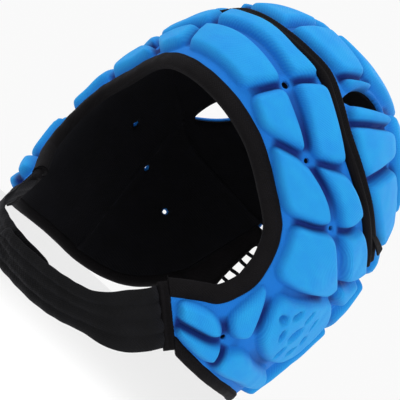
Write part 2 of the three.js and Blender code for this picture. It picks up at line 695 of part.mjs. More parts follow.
function crownPanel() {
  const columns = Array.from({ length: CROWN_ROUND }, (_, i) => {
    const lon = -180 + (360 * i) / CROWN_ROUND;
    return downTo(lon, seamLat(lon) - 1, CROWN_RINGS);
  });
  const skin = shell(polarSurface(columns), PANEL_LOW, FOAM_BASE);
  const pads = CROWN_PADS.map((rows) => padOn(rows.map(fromTop))).flatMap(pair);
  const cuts = [
    hollow(), trim(pipingPath, -PIPING_HALF, TRIM_WIDTH), trim(rearSeamPath, -TRIM_WIDTH, SEAM_GAP / 2),
    ...slitPlugs(),
  ];
  const foam = wasm.Manifold.union([skin, ...pads, padOn(CROWN_REAR_PAD.map(fromTop))]);
  return foam.subtract(wasm.Manifold.union(cuts));
}

function rearPanel() {
  const skin = shell(panelSurface(REAR_STATIONS, OVERLAP, REAR_CELLS, REAR_CELLS), PANEL_LOW, FOAM_BASE);
  const cuts = [
    hollow(), trim(rearSeamPath, -SEAM_GAP / 2, TRIM_WIDTH), trim(sidePath, -TRIM_WIDTH, SEAM_GAP / 2),
    belowNeck(0), ...ventPlugs(REAR_VENTS),
  ];
  return wasm.Manifold.union([skin, ...REAR_PADS.map(padOn)]).subtract(wasm.Manifold.union(cuts));
}

// Black trims that follow the panels' edges.
function crownPiping() {
  return band(pipingPath, -PIPING_WIDTH / 2, PIPING_WIDTH / 2, 2 * CLEARANCE, PIPING_HEIGHT);
}

function faceBinding() {
  const body = band(facePath, 0, FACE_BINDING_WIDTH, -BINDING_IN, BINDING_OUT);
  return body.subtract(wasm.Manifold.union(pair(strapRootCutter(0))));
}

function neckBinding() {
  return band(neckPath, -NECK_BINDING_WIDTH, -NECK_GAP, -BINDING_IN, BINDING_OUT).subtract(strapRootCutter(0));
}

// A flat strip swept through stations: centre, direction across its width, direction out of its face.
function strip(stations, thickness) {
  const positions = [];
  const n = 8;
  const ease = thickness / 3;
  for (const { centre, across, out, width } of stations) {
    const w = width / 2;
    const t = thickness / 2;
    const section = [
      [-w, -t + ease], [-w, t - ease], [-w + ease, t], [w - ease, t],
      [w, t - ease], [w, -t + ease], [w - ease, -t], [-w + ease, -t],
    ];
    for (const [a, o] of section) {
      positions.push(...centre.clone().addScaledVector(across, a).addScaledVector(out, o));
    }
  }
  const faces = [];
  const rows = stations.length;
  for (let i = 0; i < rows - 1; i++) {
    for (let j = 0; j < n; j++) {
      const k = (j + 1) % n;
      faces.push(i * n + j, i * n + k, (i + 1) * n + k, i * n + j, (i + 1) * n + k, (i + 1) * n + j);
    }
  }
  const last = (rows - 1) * n;
  for (let j = 1; j < n - 1; j++) {
    faces.push(0, j + 1, j, last, last + j, last + j + 1);
  }
  return solid(geometry(positions, faces));
}

// A block to cut with, from behind the strap seam to where the strap starts, or a good way further.
function strapRootCutter(behind, reach = TRIM_WIDTH * 2) {
  return seamBlock(-behind, reach, ROOT_BAND_HEIGHT * 2, TRIM_WIDTH * 3);
}

// A block across the strap seam, from one distance ahead of the seam to another.
function seamBlock(from, to, width, thickness) {
  const stations = [from, to].map((ahead) => ({
    centre: seamMiddle.clone().addScaledVector(seamForward, ahead),
    across: seamAcross,
    out: seamOut,
    width,
  }));
  return strip(stations, thickness);
}

const strapRoot = () => seamBlock(CLEARANCE, CLEARANCE + ROOT_BAND_WIDTH, ROOT_BAND_HEIGHT, ROOT_BAND_THICKNESS);

// The strap's loop under the chin, at a turn from 0 at the left root to 180 at the right root.
function strapStation(turn, inward, width) {
  const start = seamMiddle.clone().addScaledVector(seamForward, STRAP_START);
  const fall = new THREE.Vector3(0, -Math.cos(rad(STRAP_FALL)), -Math.sin(rad(STRAP_FALL)));
  const place = (at) => {
    const c = Math.cos(rad(at));
    const reach = Math.sign(c) * Math.abs(c) ** (2 / STRAP_POWER);
    const drop = Math.max(0, Math.sin(rad(at))) ** (2 / STRAP_POWER);
    return new THREE.Vector3(start.x * reach, start.y, start.z).addScaledVector(fall, STRAP_DROP * drop);
  };
  const centre = place(turn);
  const near = THREE.MathUtils.smoothstep(Math.abs(Math.cos(rad(turn))), 0.55, 1);
  const along = place(Math.min(180, turn + 1)).sub(place(Math.max(0, turn - 1))).normalize();
  const rootAcross = turn < 90 ? seamAcross : mirrorX(seamAcross);
  const chinAcross = new THREE.Vector3(0, Math.sin(rad(STRAP_FALL)), -Math.cos(rad(STRAP_FALL)));
  const across = chinAcross.lerp(rootAcross, near);
  across.addScaledVector(along, -across.dot(along)).normalize();
  const out = new THREE.Vector3().crossVectors(across, along).normalize();
  if (out.dot(centre.clone().setZ(0)) < 0) {
    out.negate();
  }
  centre.addScaledVector(out, -inward);
  return { centre, across, out, width };
}

function strapWidthAt(turn) {
  const near = THREE.MathUtils.smoothstep(Math.abs(Math.cos(rad(turn))), 0.6, 1);
  return STRAP_WIDTH + (STRAP_ROOT_WIDTH - STRAP_WIDTH) * near;
}

function chinStrap() {
  const stations = [];
  for (let i = 0; i <= STRAP_STEPS; i++) {
    const turn = (STRAP_END_TURN * i) / STRAP_STEPS;
    const rounding = i === STRAP_STEPS ? 0.7 : 1;
    stations.push(strapStation(turn, 0, strapWidthAt(turn) * rounding));
  }
  return strip(stations, STRAP_THICKNESS).subtract(strapRootCutter(TRIM_WIDTH, STRAP_START));
}

function chinStrapTab() {
  const stations = [];
  const inward = (STRAP_THICKNESS + TAB_THICKNESS) / 2 + CLEARANCE;
  for (let i = 0; i <= TAB_STEPS; i++) {
    const turn = 180 - ((180 - TAB_END_TURN) * i) / TAB_STEPS;
    const under = THREE.MathUtils.smoothstep(180 - turn, 0, 180 - STRAP_END_TURN - 6);
    const rounding = i === TAB_STEPS ? 0.7 : 1;
    stations.push(strapStation(turn, inward * under, (strapWidthAt(turn) - TAB_NARROWER) * rounding));
  }
  return strip(stations, TAB_THICKNESS).subtract(mirrorBody(strapRootCutter(TRIM_WIDTH, STRAP_START)));
}

// Lace points across the back opening, on top of the two neck bindings: side, lat
function lacePoint(side, lat, lift) {
  const rows = NECK_EDGE.filter((row) => row[0] > LACE_FROM_LON);
  let i = rows.findIndex((row) => row[1] > lat);
  i = i < 0 ? rows.length - 1 : Math.max(1, i);
  const t = (lat - rows[i - 1][1]) / (rows[i][1] - rows[i - 1][1]);
  const lon = rows[i - 1][0] + (rows[i][0] - rows[i - 1][0]) * t;
  const ahead = [lon + (rows[i][0] - rows[i - 1][0]) / 100, lat + (rows[i][1] - rows[i - 1][1]) / 100];
  const edge = aside([lon, lat], ahead, -NECK_BINDING_WIDTH / 2);
  return onHead(side * edge[0], edge[1], lift);
}

const LACE_LIFT = BINDING_OUT + CLEARANCE + LACE_DIAMETER / 2;

// The zigzag: lat of each turn, from the foot of the opening to its top, on alternate sides.
function laceTurns() {
  const turns = [];
  for (let i = 0; i < LACE_CROSSINGS; i++) {
    const lat = LACE_FOOT_LAT + ((LACE_TOP_LAT - LACE_FOOT_LAT) * i) / (LACE_CROSSINGS - 1);
    const side = i % 2 === 0 ? 1 : -1;
    turns.push(lacePoint(side, lat, LACE_LIFT));
    turns.push(lacePoint(side, lat + LACE_TURN, LACE_LIFT));
  }
  return turns;
}

function tube(points, steps, diameter, sides) {
  const curve = new THREE.CatmullRomCurve3(points, false, 'centripetal');
  const shape = new THREE.Shape();
  for (let i = 0; i < sides; i++) {
    const a = (2 * Math.PI * i) / sides;
    const p = [(Math.cos(a) * diameter) / 2, (Math.sin(a) * diameter) / 2];
    if (i === 0) {
      shape.moveTo(...p);
    } else {
      shape.lineTo(...p);
    }
  }
  shape.closePath();
  const made = new THREE.ExtrudeGeometry(shape, { steps, extrudePath: curve, bevelEnabled: false });
  made.deleteAttribute('normal');
  made.deleteAttribute('uv');
  return solid(mergeVertices(made, 1e-4));
}

// Route of the spare lace, which hangs in one slack loop from the left foot of the lacing to the right foot.
// share of the half gap across, share of the drop
const LACE_LOOP = [
  [1, 0], [0.91, 0.2], [0.8, 0.38], [0.67, 0.56], [0.53, 0.71], [0.39, 0.83], [0.26, 0.92], [0.13, 0.98],
  [0, 1], [-0.13, 0.98], [-0.26, 0.92], [-0.39, 0.83], [-0.53, 0.71], [-0.67, 0.56], [-0.8, 0.38],
  [-0.91, 0.2], [-1, 0],
];

function laceLoopPoints() {
  const foot = lacePoint(1, LACE_FOOT_LAT, LACE_LIFT);
  return LACE_LOOP.map(([across, drop]) => new THREE.Vector3(
    foot.x * across,
    foot.y + LACE_LOOP_BACK * drop,
    foot.z - LACE_LOOP_START - LACE_LOOP_DROP * drop,
  ));
}

const group = new THREE.Group();
group.position.z = -originHeight;

function add(name, body, color, roughness = 0.85) {
  const mesh = new THREE.Mesh(fromSolid(body), new THREE.MeshStandardMaterial({ color, roughness, metalness: 0 }));
  mesh.name = name;
  group.add(mesh);
  return mesh;
}

// The left piece and its mirrored twin.
function addPair(name, body, color) {
  add(`${name}_left`, body, color);
  add(`${name}_right`, mirrorBody(body), color);
}

add('front_panel', frontPanel(), BLUE);
add('crown_panel', crownPanel(), BLUE);
addPair('rear_panel', rearPanel(), BLUE);
add('lining', lining(), BLACK);
add('crown_piping', crownPiping(), BLACK);
add('face_binding', faceBinding(), BLACK);
addPair('neck_binding', neckBinding(), BLACK);
addPair('strap_root', strapRoot(), BLACK);
add('chin_strap', chinStrap(), BLACK);
add('chin_strap_tab', chinStrapTab(), BLACK);
add('rear_lace', tube(laceTurns(), LACE_STEPS, LACE_DIAMETER, LACE_SIDES), LACE_BLACK);
add('lace_loop', tube(laceLoopPoints(), LOOP_STEPS, LACE_DIAMETER, LACE_SIDES), LACE_BLACK);

export default group;
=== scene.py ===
# %% [markdown]
# A padded cap for rugby, as worn: blue knit over moulded foam, black binding, a chin strap and a laced back.
# The imported model gives every piece its place. Here each one is built again as the cloth and foam that it is,
# in the same frame, so this lesson starts by loading that frame.

# %% Load the frame
import math
import bpy
import numpy as np
from mathutils import Matrix, Vector


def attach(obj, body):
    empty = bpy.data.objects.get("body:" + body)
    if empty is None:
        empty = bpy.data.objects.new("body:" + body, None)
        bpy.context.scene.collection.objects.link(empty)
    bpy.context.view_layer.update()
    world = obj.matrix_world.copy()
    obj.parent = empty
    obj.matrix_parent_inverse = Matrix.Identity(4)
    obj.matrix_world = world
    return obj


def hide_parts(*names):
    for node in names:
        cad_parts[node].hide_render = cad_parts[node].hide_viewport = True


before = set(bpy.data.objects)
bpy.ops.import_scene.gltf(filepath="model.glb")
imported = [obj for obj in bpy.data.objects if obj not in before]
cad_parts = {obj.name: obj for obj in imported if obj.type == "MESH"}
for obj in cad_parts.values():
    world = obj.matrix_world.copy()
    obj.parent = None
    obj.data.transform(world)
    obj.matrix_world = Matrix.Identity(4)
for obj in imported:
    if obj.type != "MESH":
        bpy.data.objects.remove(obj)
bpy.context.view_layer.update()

MM = 0.001
BODY = "root"
print("nodes", sorted(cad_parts))

# %% [markdown]
# A cap has no flat faces to measure from. Every piece follows the head, so the head is written once as a
# formula: a direction by longitude and latitude, how far out the foam's inner face lies there, and a lift
# along the surface's normal. A table row in degrees and a height in millimetres then place any point.

# %% The head form
HALF_WIDTH, FRONT_DEPTH, REAR_DEPTH, CROWN_HEIGHT = 95.2, 90.4, 101.7, 125.8
DOME_POWER = 2.28
NECK_DEPTH, NECK_DRAW_IN = 80.0, 0.09
EGG_SHAPE, FLAT_BACK = 0.058, 0.055
FRONT_LEAN, SIDE_SQUEEZE, TEMPLE_BULGE = -0.027, 0.034, 0.031
CLEARANCE, LINING = 0.35, 1.2
ORIGIN_UP = CROWN_HEIGHT - CLEARANCE - LINING


def ray(lon, lat):
    a, b = np.radians(lon), np.radians(lat)
    return np.stack([np.cos(b) * np.sin(a), -np.cos(b) * np.cos(a), np.sin(b)], axis=-1)


def form(lon, lat):
    """Points of the head form round its centre, in millimetres."""
    lon, lat = np.broadcast_arrays(np.asarray(lon, float), np.asarray(lat, float))
    d = ray(lon, lat)
    a, c, s = np.radians(lon), np.cos(np.radians(lat)), np.sin(np.radians(lat))
    depth = np.where(d[..., 1] < 0, FRONT_DEPTH, REAR_DEPTH)
    q = np.hypot(d[..., 0] / HALF_WIDTH, d[..., 1] / depth)
    up = np.maximum(d[..., 2], 0)
    dome = (np.maximum(q, 1e-9) ** DOME_POWER + (up / CROWN_HEIGHT) ** DOME_POWER) ** (-1 / DOME_POWER)
    k = NECK_DRAW_IN * (d[..., 2] / NECK_DEPTH) ** 2 + 1e-12
    neck = (-q + np.sqrt(q * q + 4 * k)) / (2 * k)
    r = np.where(d[..., 2] >= 0, dome, neck)
    plan = EGG_SHAPE * np.cos(3 * a) * c**3 + FLAT_BACK * np.cos(5 * a) * c**5
    lean = FRONT_LEAN * np.cos(a) + SIDE_SQUEEZE * np.cos(2 * a) * c + TEMPLE_BULGE * np.cos(3 * a) * c * c
    return d * (r * (1 + plan + s * c * lean))[..., None]


def outward(lon, lat):
    lat = np.minimum(lat, 89.9)
    step = 0.3
    east = form(lon + step, lat) - form(lon - step, lat)
    north = form(lon, lat + step) - form(lon, lat - step)
    normal = np.cross(east, north)
    return normal / np.linalg.norm(normal, axis=-1, keepdims=True)


def on_head(lon, lat, lift=0.0):
    """Points lifted off the head form, in millimetres round the head's centre."""
    lon, lat = np.asarray(lon, float), np.asarray(lat, float)
    return form(lon, lat) + outward(lon, lat) * np.asarray(lift, float)[..., None]


def lon_lat(p):
    r = np.linalg.norm(p, axis=-1)
    return np.degrees(np.arctan2(p[..., 0], -p[..., 1])), np.degrees(np.arcsin(p[..., 2] / r))


def to_frame(p):
    """Millimetres round the head's centre to metres in the frame, whose origin is inside the crown's top."""
    return (np.asarray(p, float) - [0, 0, ORIGIN_UP]) * MM


print("crown height in the frame", to_frame(form(0.0, 90.0)).round(4))

# %% [markdown]
# The camera comes before the looks, because it decides what shows. The photo's camera was found from pairs
# of left and right features. It stands ahead and to the wearer's left, almost level, and is rolled by 42
# degrees, which is why the cap seems to lie tilted in the picture. A long lens keeps the perspective flat.

# %% The camera
AZIMUTH, ELEVATION, ROLL = 31.32, -3.95, -42.09
CAMERA_DISTANCE = 910.3
FOCAL_PIXELS, PHOTO_PIXELS = 1472.4, 400
OPTICAL_AXIS_PIXEL = (200.35, 204.43)


def add_camera():
    az, el, roll = (math.radians(v) for v in (AZIMUTH, ELEVATION, ROLL))
    back = Vector((math.sin(az) * math.cos(el), -math.cos(az) * math.cos(el), math.sin(el)))
    level = Vector((math.cos(az), math.sin(az), 0))
    rise = back.cross(level)
    right = level * math.cos(roll) - rise * math.sin(roll)
    up = level * math.sin(roll) + rise * math.cos(roll)
    data = bpy.data.cameras.new("camera")
    data.sensor_width = 36
    data.lens = FOCAL_PIXELS / PHOTO_PIXELS * data.sensor_width
    data.shift_x = (PHOTO_PIXELS / 2 - OPTICAL_AXIS_PIXEL[0]) / PHOTO_PIXELS
    data.shift_y = (OPTICAL_AXIS_PIXEL[1] - PHOTO_PIXELS / 2) / PHOTO_PIXELS
    eye = Vector((0, 0, -ORIGIN_UP * MM)) + back * (CAMERA_DISTANCE * MM)
    camera = bpy.data.objects.new("camera", data)
    camera.matrix_world = Matrix.Translation(eye) @ Matrix((right, up, back)).transposed().to_4x4()
    bpy.context.scene.collection.objects.link(camera)
    bpy.context.scene.camera = camera
    return eye


eye = add_camera()
print("camera at", [round(v, 3) for v in eye])

# %% [markdown]
# Meshes are made from arrays of points and faces. One helper turns them into an object that rides on the
# cap's only body. It stores what the materials ask of a point: how high the foam is lifted, where the point
# lies on the cloth in millimetres, so that the knit follows the cap, and how dark a channel is. Faces are
# written in whichever order is handy, and a closed skin's signed volume then tells whether to turn them.

# %% Mesh helpers
def facing_out(points, faces):
    """Faces of a closed skin, all turned round if they look inward."""
    volume = 0
    for corners in {len(face) for face in faces}:
        p = points[np.array([face for face in faces if len(face) == corners])]
        volume += sum((p[:, 0] * np.cross(p[:, i], p[:, i + 1])).sum() for i in range(1, corners - 1))
    return faces if volume > 0 else [face[::-1] for face in faces]


def add_mesh(name, points, faces, material, slot, replaces=(), **stored):
    faces = facing_out(points, faces)
    mesh = bpy.data.meshes.new(name)
    mesh.from_pydata([tuple(p) for p in to_frame(points)], [], [tuple(int(i) for i in f) for f in faces])
    for label, values in stored.items():
        kind, key = ("FLOAT", "value") if np.ndim(values) == 1 else ("FLOAT_VECTOR", "vector")
        layer = mesh.attributes.new(label, kind, "POINT")
        layer.data.foreach_set(key, np.asarray(values, np.float32).ravel())
    mesh.shade_smooth()
    piece = bpy.data.objects.new("soft_" + name, mesh)
    bpy.context.scene.collection.objects.link(piece)
    piece.data.materials.append(material)
    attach(piece, BODY)
    if replaces:
        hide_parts(*replaces)
    return piece


def grid_faces(rows, columns, closed_rows=False, closed_columns=False):
    """Quads over a grid of points stored row by row."""
    i = np.arange(rows if closed_rows else rows - 1)
    j = np.arange(columns if closed_columns else columns - 1)
    i, j = np.meshgrid(i, j, indexing="ij")
    i2, j2 = (i + 1) % rows, (j + 1) % columns
    quads = np.stack([i * columns + j, i2 * columns + j, i2 * columns + j2, i * columns + j2], -1)
    return quads.reshape(-1, 4)


def tube_faces(rings, n):
    """Faces of a tube of rings with n points each, with its two ends closed."""
    faces = [list(face) for face in grid_faces(rings, n, closed_columns=True)]
    return faces + [list(range(n)), list(range(rings * n - 1, (rings - 1) * n - 1, -1))]


def rim_edges(faces):
    """Edges that only one face uses, in that face's direction."""
    seen = {}
    for face in faces:
        for a, b in zip(face, np.roll(face, -1)):
            if (b, a) in seen:
                del seen[(b, a)]
            else:
                seen[(a, b)] = True
    return list(seen)


def thickened(count, faces):
    """Faces of a closed skin whose second layer of points follows the first: outside, inside and rim."""
    inner = [[i + count for i in reversed(list(face))] for face in faces]
    walls = [[b, a, a + count, b + count] for a, b in rim_edges(faces)]
    return [list(face) for face in faces] + inner + walls


print("faces of a box-like tube:", len(tube_faces(2, 4)))

# %% [markdown]
# Most pieces here are rings of points set along a line. These helpers give a ring its shape, measure the way
# along a line, and run a smooth curve through the rows of a table.

# %% Rings and curves
def rounded(count, x_power, y_power):
    """Angles and places of points round a unit ring, squarer than a circle where a power is under 1."""
    a = np.linspace(0, 2 * math.pi, count, endpoint=False)
    c, s = np.cos(a), np.sin(a)
    return a, np.sign(c) * np.abs(c) ** x_power, np.sign(s) * np.abs(s) ** y_power


def run_along(points):
    """Distance walked along a line of points."""
    return np.concatenate([[0], np.cumsum(np.linalg.norm(np.diff(points, axis=0), axis=1))])


def unit(vectors):
    return vectors / np.linalg.norm(vectors, axis=-1, keepdims=True)


def smooth(value, low, high):
    t = min(max((value - low) / (high - low), 0), 1)
    return t * t * (3 - 2 * t)


def curved(rows, count):
    """A smooth curve through table rows, at even steps of row number."""
    rows = np.asarray(rows, float)
    ends = np.vstack([2 * rows[0] - rows[1], rows, 2 * rows[-1] - rows[-2]])
    t = np.linspace(0, len(rows) - 1, count)
    i = np.minimum(t.astype(int), len(rows) - 2)
    f = (t - i)[:, None]
    a, b, c, d = ends[i], ends[i + 1], ends[i + 2], ends[i + 3]
    return 0.5 * (2 * b + (c - a) * f + (2 * a - 5 * b + 4 * c - d) * f**2 + (3 * b - a - 3 * c + d) * f**3)


def mirrored(rows):
    return [(-row[0], *row[1:]) for row in rows]


print("a ring's right and top reach", [round(float(v.max()), 3) for v in rounded(8, 0.6, 0.8)[1:]])

# %% [markdown]
# The panels' edges and pads were read off the photo on the wearer's left, as longitude and latitude, and
# are mirrored for the right. The front panel's rows join the face edge to the seam or neck edge beyond it.

# %% Edges of the panels
# face lon, face lat, outer lon, outer lat
FRONT_STATIONS = [
    (45.5, -32.5, 57, -38.8), (50.5, -29.5, 66, -38.6), (55.5, -26.5, 78, -38.4), (60, -23.5, 92, -38.3),
    (63, -18.5, 106, -38.2), (65, -11.5, 120.5, -38), (64.5, -4.5, 120.8, -22), (63, 1.5, 120.6, -6),
    (61, 6.5, 120, 9), (58, 11, 118.6, 23), (53, 15.5, 106.5, 27.9), (47, 19.8, 94, 31.8),
    (40, 24, 80, 37), (32, 27.3, 68.5, 42.3), (24, 29, 58, 47), (16, 29.8, 46, 53),
    (8, 30, 33.5, 57.2), (0, 30, 17, 57.6),
]
# lon, lat
CROWN_SEAM = [
    (0, 57.4), (17, 57.6), (33.5, 57.2), (46, 53), (58, 47), (68.5, 42.3), (80, 37), (94, 31.8),
    (106.5, 27.9), (118.6, 23), (124, 20.4), (131, 18), (138, 16.6), (153, 15.6), (166, 15), (180, 14.7),
]
# top lon, top lat, bottom lon, bottom lat
REAR_STATIONS = [
    (118.2, 22.8, 120.2, -38.1), (125, 19.6, 126, -37.6), (132, 17.4, 132, -36.8), (139, 16.2, 138, -35.6),
    (148, 15.5, 144.5, -33.6), (157, 15.2, 150.5, -30.4), (166, 14.8, 157, -25), (174, 14.6, 163, -18),
]
NECK_EDGE = [
    (56.2, -38.7), (66, -38.6), (78, -38.4), (92, -38.3), (106, -38.2), (120.8, -38), (126, -37.6),
    (132, -36.8), (138, -35.6), (144.5, -33.6), (150.5, -30.4), (157, -25), (163, -18), (166.1, -9),
    (169.9, 2), (173.8, 13.6),
]
SIDE_SEAM = [(118.6, 23), (120, 9), (120.8, -6), (121, -22), (121, -38)]
CROWN_CORNER = 118.6
print(len(FRONT_STATIONS), "front rows", len(REAR_STATIONS), "rear rows")

# %% [markdown]
# Moulded foam is a sheet of pads with channels pressed between them. Each pad is an outline on the head, in
# longitude and latitude. The crown's are written as degrees from the top, across and back, because longitude
# makes no sense near the top. A vent's third number is its size beside the others.

# %% Pads, dents, slits and vents
CENTRE_PADS = [
    [(-21.5, 43.5), (21.5, 43.5), (13.5, 33.4), (-13.5, 33.4)],
    [(-23.5, 47.5), (23.5, 47.5), (31, 54.4), (15, 54.8), (-15, 54.8), (-31, 54.4)],
]
FRONT_PADS = [
    [(24.5, 42.5), (34, 40), (42, 37), (47, 34.3), (38, 32.3), (28, 30), (19, 33.2)],
    [(27, 46.5), (36, 43.8), (44, 40.2), (51.5, 35.5), (58, 37), (64, 39.6), (55, 45.6), (45, 50.6),
     (37, 53.5)],
    [(36.5, 28.2), (43, 30), (51, 31), (60, 28.5), (67, 25.3), (72, 21.5), (69, 18.7), (62, 16.3), (57, 15),
     (49, 20.5), (42, 25.2)],
    [(55.5, 32.8), (61, 34.6), (67, 36.6), (75, 34.6), (84, 30.9), (81.5, 25.3), (77, 23.3), (73, 26.8),
     (65.5, 30.3)],
    [(62, 12.5), (68, 15), (73, 17.8), (76.5, 18.2), (81, 15.5), (87, 12), (98, 8.6), (95, 3.5), (86, 0.5),
     (78, -2), (70, -4), (67, -2.5), (65.5, 4)],
    [(79.5, 21), (84, 23.8), (88.5, 27.6), (98, 25.8), (108, 22.8), (115.5, 20), (110, 15.5), (103.5, 12.5),
     (94, 15.8), (86, 18.7)],
    [(105, 10), (111.5, 12), (118, 16.2), (118.3, 5.5), (108.5, 7)],
    [(67.4, -9.5), (70.2, -12.5), (73.8, -19), (76.3, -23.8), (73, -26.5), (69.5, -26.3), (66, -23.5),
     (66.8, -17)],
    [(49.5, -31.5), (55.5, -28.6), (61.5, -27), (66, -28), (68.3, -29.5), (66, -31.3), (60, -33),
     (53.5, -34.8)],
    [(55, -36.3), (60, -35), (67, -33.3), (71, -31.5), (73, -33.5), (74, -36), (70, -36.9), (63, -37.3),
     (57.5, -37.5)],
    [(74.5, -31.5), (78, -28.5), (83, -28), (90, -29), (99, -29), (110, -28), (117, -29), (118, -33),
     (106, -35), (92, -35.3), (83, -36.4), (77, -36.6), (75.5, -34.5)],
]
EAR_DOME = [
    (73.5, -8), (80, -6.3), (88, -3), (96, 1), (104, 4), (112, 2.5), (118, -0.5), (118.5, -10), (117, -18),
    (110, -23), (100, -25), (90, -24.5), (82, -22.5), (77.5, -18.5), (74.5, -13),
]
# lon, lat, length and width in mm, turn from the level in degrees
EAR_DENTS = [
    (93.5, -13.5, 12, 8, 60), (80, -12.5, 7, 5, 10), (84.5, -8.5, 8, 4, 60), (92.5, -6, 8, 5, 95),
    (102, -6.5, 8, 4, 120), (105.5, -12.5, 8, 5, 170), (103.5, -18, 8, 4, 50), (94.5, -20.8, 8, 5, 95),
    (85.5, -16.5, 8, 4, 130),
]
# across, back
CROWN_PADS = [
    [(2, -29.2), (15.5, -24), (18.8, -21.2), (18.3, -12), (2, -13.5)],
    [(20.4, -21.6), (22.6, -20.2), (21.3, -12), (20.3, -9)],
    [(2, -10.6), (18, -9.2), (21.4, 1.5), (20.6, 12), (2, 12)],
    [(28.6, -21), (28.2, -10), (27.2, -2.4), (29.2, -1.4), (31.6, -10), (32.4, -19.8)],
    [(34.6, -20.6), (33.4, -10), (31, 0), (37.3, 2.6), (42.5, -4), (47.6, -11.6), (42.9, -16.6)],
    [(50.4, -9.2), (45.5, -2.5), (39.9, 4.6), (44.4, 14.5), (46.2, 25.6), (54, 28.4), (56, 15), (55.3, 4)],
    [(24.4, 2), (31, 3.2), (38, 7.6), (42, 17), (43.2, 26), (36, 27.4), (24.6, 28), (23.6, 14)],
    [(2, 15), (20.6, 15), (21.8, 29), (14, 34), (2, 34)],
    [(17, 37.5), (27, 39.5), (37, 44.4), (38.4, 56.4), (30, 64), (18.5, 70), (20.6, 52)],
    [(40.2, 43.6), (52, 38.4), (54, 42.4), (49, 50.8), (41.4, 56.8)],
]
CROWN_REAR_PAD = [(-13, 37), (13, 37), (17, 52), (14.6, 70.6), (-14.6, 70.6), (-17, 52)]
# across and back of the front end and of the rear end, and half the width
CROWN_SLITS = [(26.2, -23.4, 23.9, 0.6, 3.7), (55, 34.2, 28, 34.8, 4.8)]
REAR_PADS = [
    [(123.8, 17.2), (137, 13.4), (138.3, -3.4), (131, -0.5), (124.2, 2)],
    [(141.2, 13), (158, 12.4), (170.5, 11.6), (167.5, -1), (163.4, -10.6), (152, -8), (142.4, -5.2)],
    [(124.2, -2.2), (131, -3.6), (138, -8), (136.4, -33), (123.6, -35.4)],
    [(141.2, -9), (150, -11), (160.2, -14.4), (155, -22.6), (147.4, -29.6), (139.6, -32)],
]
FRONT_VENTS = [(24, 45, 1.5), (51, 33, 1), (75.3, 21, 1), (102, 9.3, 1), (70.6, -29.3, 1)]
REAR_VENTS = [(122.6, 0, 1), (140.6, -7, 1)]


def from_top(point):
    across, back = point
    return math.degrees(math.atan2(across, -back)), 90 - math.hypot(across, back)


def both_sides(outlines):
    return [outline for left in outlines for outline in (left, mirrored(left))]


front_pads = CENTRE_PADS + both_sides(FRONT_PADS)
crown_pads = both_sides([[from_top(p) for p in pad] for pad in CROWN_PADS])
crown_pads.append([from_top(p) for p in CROWN_REAR_PAD])
print(len(front_pads), "front pads", len(crown_pads), "crown pads")

# %% [markdown]
# A pad's height is found from how far a point lies inside its outline. Distances are measured on a flat chart
# laid on the head at the pad's middle, where the outline's corners are first rounded as foam rounds them.

# %% Charts and distances
CORNER_REACH = 4.5
FAR = 99.0


def chart(centre_ray):
    size = np.linalg.norm(form(*lon_lat(centre_ray)))
    pole = np.array([0, 1.0, 0]) if abs(centre_ray[2]) > 0.9 else np.array([0, 0, 1.0])
    east = unit(np.cross(pole, centre_ray))
    north = np.cross(centre_ray, east)

    def flatten(rays):
        near = rays @ centre_ray
        return np.stack([rays @ east, rays @ north], -1) * (size / np.maximum(near, 0.2))[..., None], near

    def spread(flat):
        p = centre_ray * size + flat[..., :1] * east + flat[..., 1:] * north
        return lon_lat(p)

    return flatten, spread


def eased_outline(points, reach):
    """Replace each corner of a closed outline by a short curve."""
    out = []
    for before, p, after in zip(np.roll(points, 1, 0), points, np.roll(points, -1, 0)):
        a = p + (before - p) * min(reach / np.linalg.norm(before - p), 0.42)
        b = p + (after - p) * min(reach / np.linalg.norm(after - p), 0.42)
        for t in (0, 0.25, 0.5, 0.75, 1):
            out.append((1 - t) ** 2 * a + 2 * t * (1 - t) * p + t * t * b)
    return np.array(out)


def inside_distance(points, outline):
    """Signed distance of points to a closed outline, positive inside."""
    nearest = np.full(len(points), 1e9)
    inside = np.zeros(len(points), bool)
    for a, b in zip(outline, np.roll(outline, -1, 0)):
        edge, away = b - a, points - a
        t = np.clip((away @ edge) / max(edge @ edge, 1e-9), 0, 1)
        nearest = np.minimum(nearest, np.linalg.norm(away - t[:, None] * edge, axis=1))
        crosses = (a[1] > points[:, 1]) != (b[1] > points[:, 1])
        if abs(edge[1]) > 1e-12:
            inside ^= crosses & (points[:, 0] < a[0] + (points[:, 1] - a[1]) * edge[0] / edge[1])
    return np.where(inside, nearest, -nearest)


def pad_distance(rays, corners, reach=CORNER_REACH):
    lon, lat = np.array(corners, float).T
    dirs = ray(lon, lat)
    flatten, _ = chart(unit(dirs.mean(0)))
    outline = eased_outline(flatten(dirs)[0], reach)
    flat, near = flatten(rays)
    reach_out = np.linalg.norm(outline, axis=1).max() + 8
    close = (near > 0.3) & (np.linalg.norm(flat, axis=1) < reach_out)
    distance = np.full(len(rays), -FAR)
    distance[close] = inside_distance(flat[close], outline)
    return distance


brow = pad_distance(ray(np.array([0.0, 12.0]), np.array([38.0, 38.0])), CENTRE_PADS[0])
print("the brow pad's middle and a point beside it lie", brow.round(1), "mm inside its outline")

# %% [markdown]
# The height climbs fast from the channel and eases off into a nearly flat top, like a quarter of an ellipse.
# Where two pads are both close, the bottom of the channel lies deeper and is shaded. The ear dome is a pad of
# its own with dents pressed into it.

# %% Relief
FOAM_BASE, PAD_TOP = 3.2, 9.4
PAD_GROW, PAD_SHOULDER, PAD_EASE = 1.9, 5.0, 2.1
CHANNEL_DEPTH, CHANNEL_REACH = 0.9, 7
EAR_DENT_DEPTH = 4.6
SWELL, SWELL_REACH = 0.7, 9


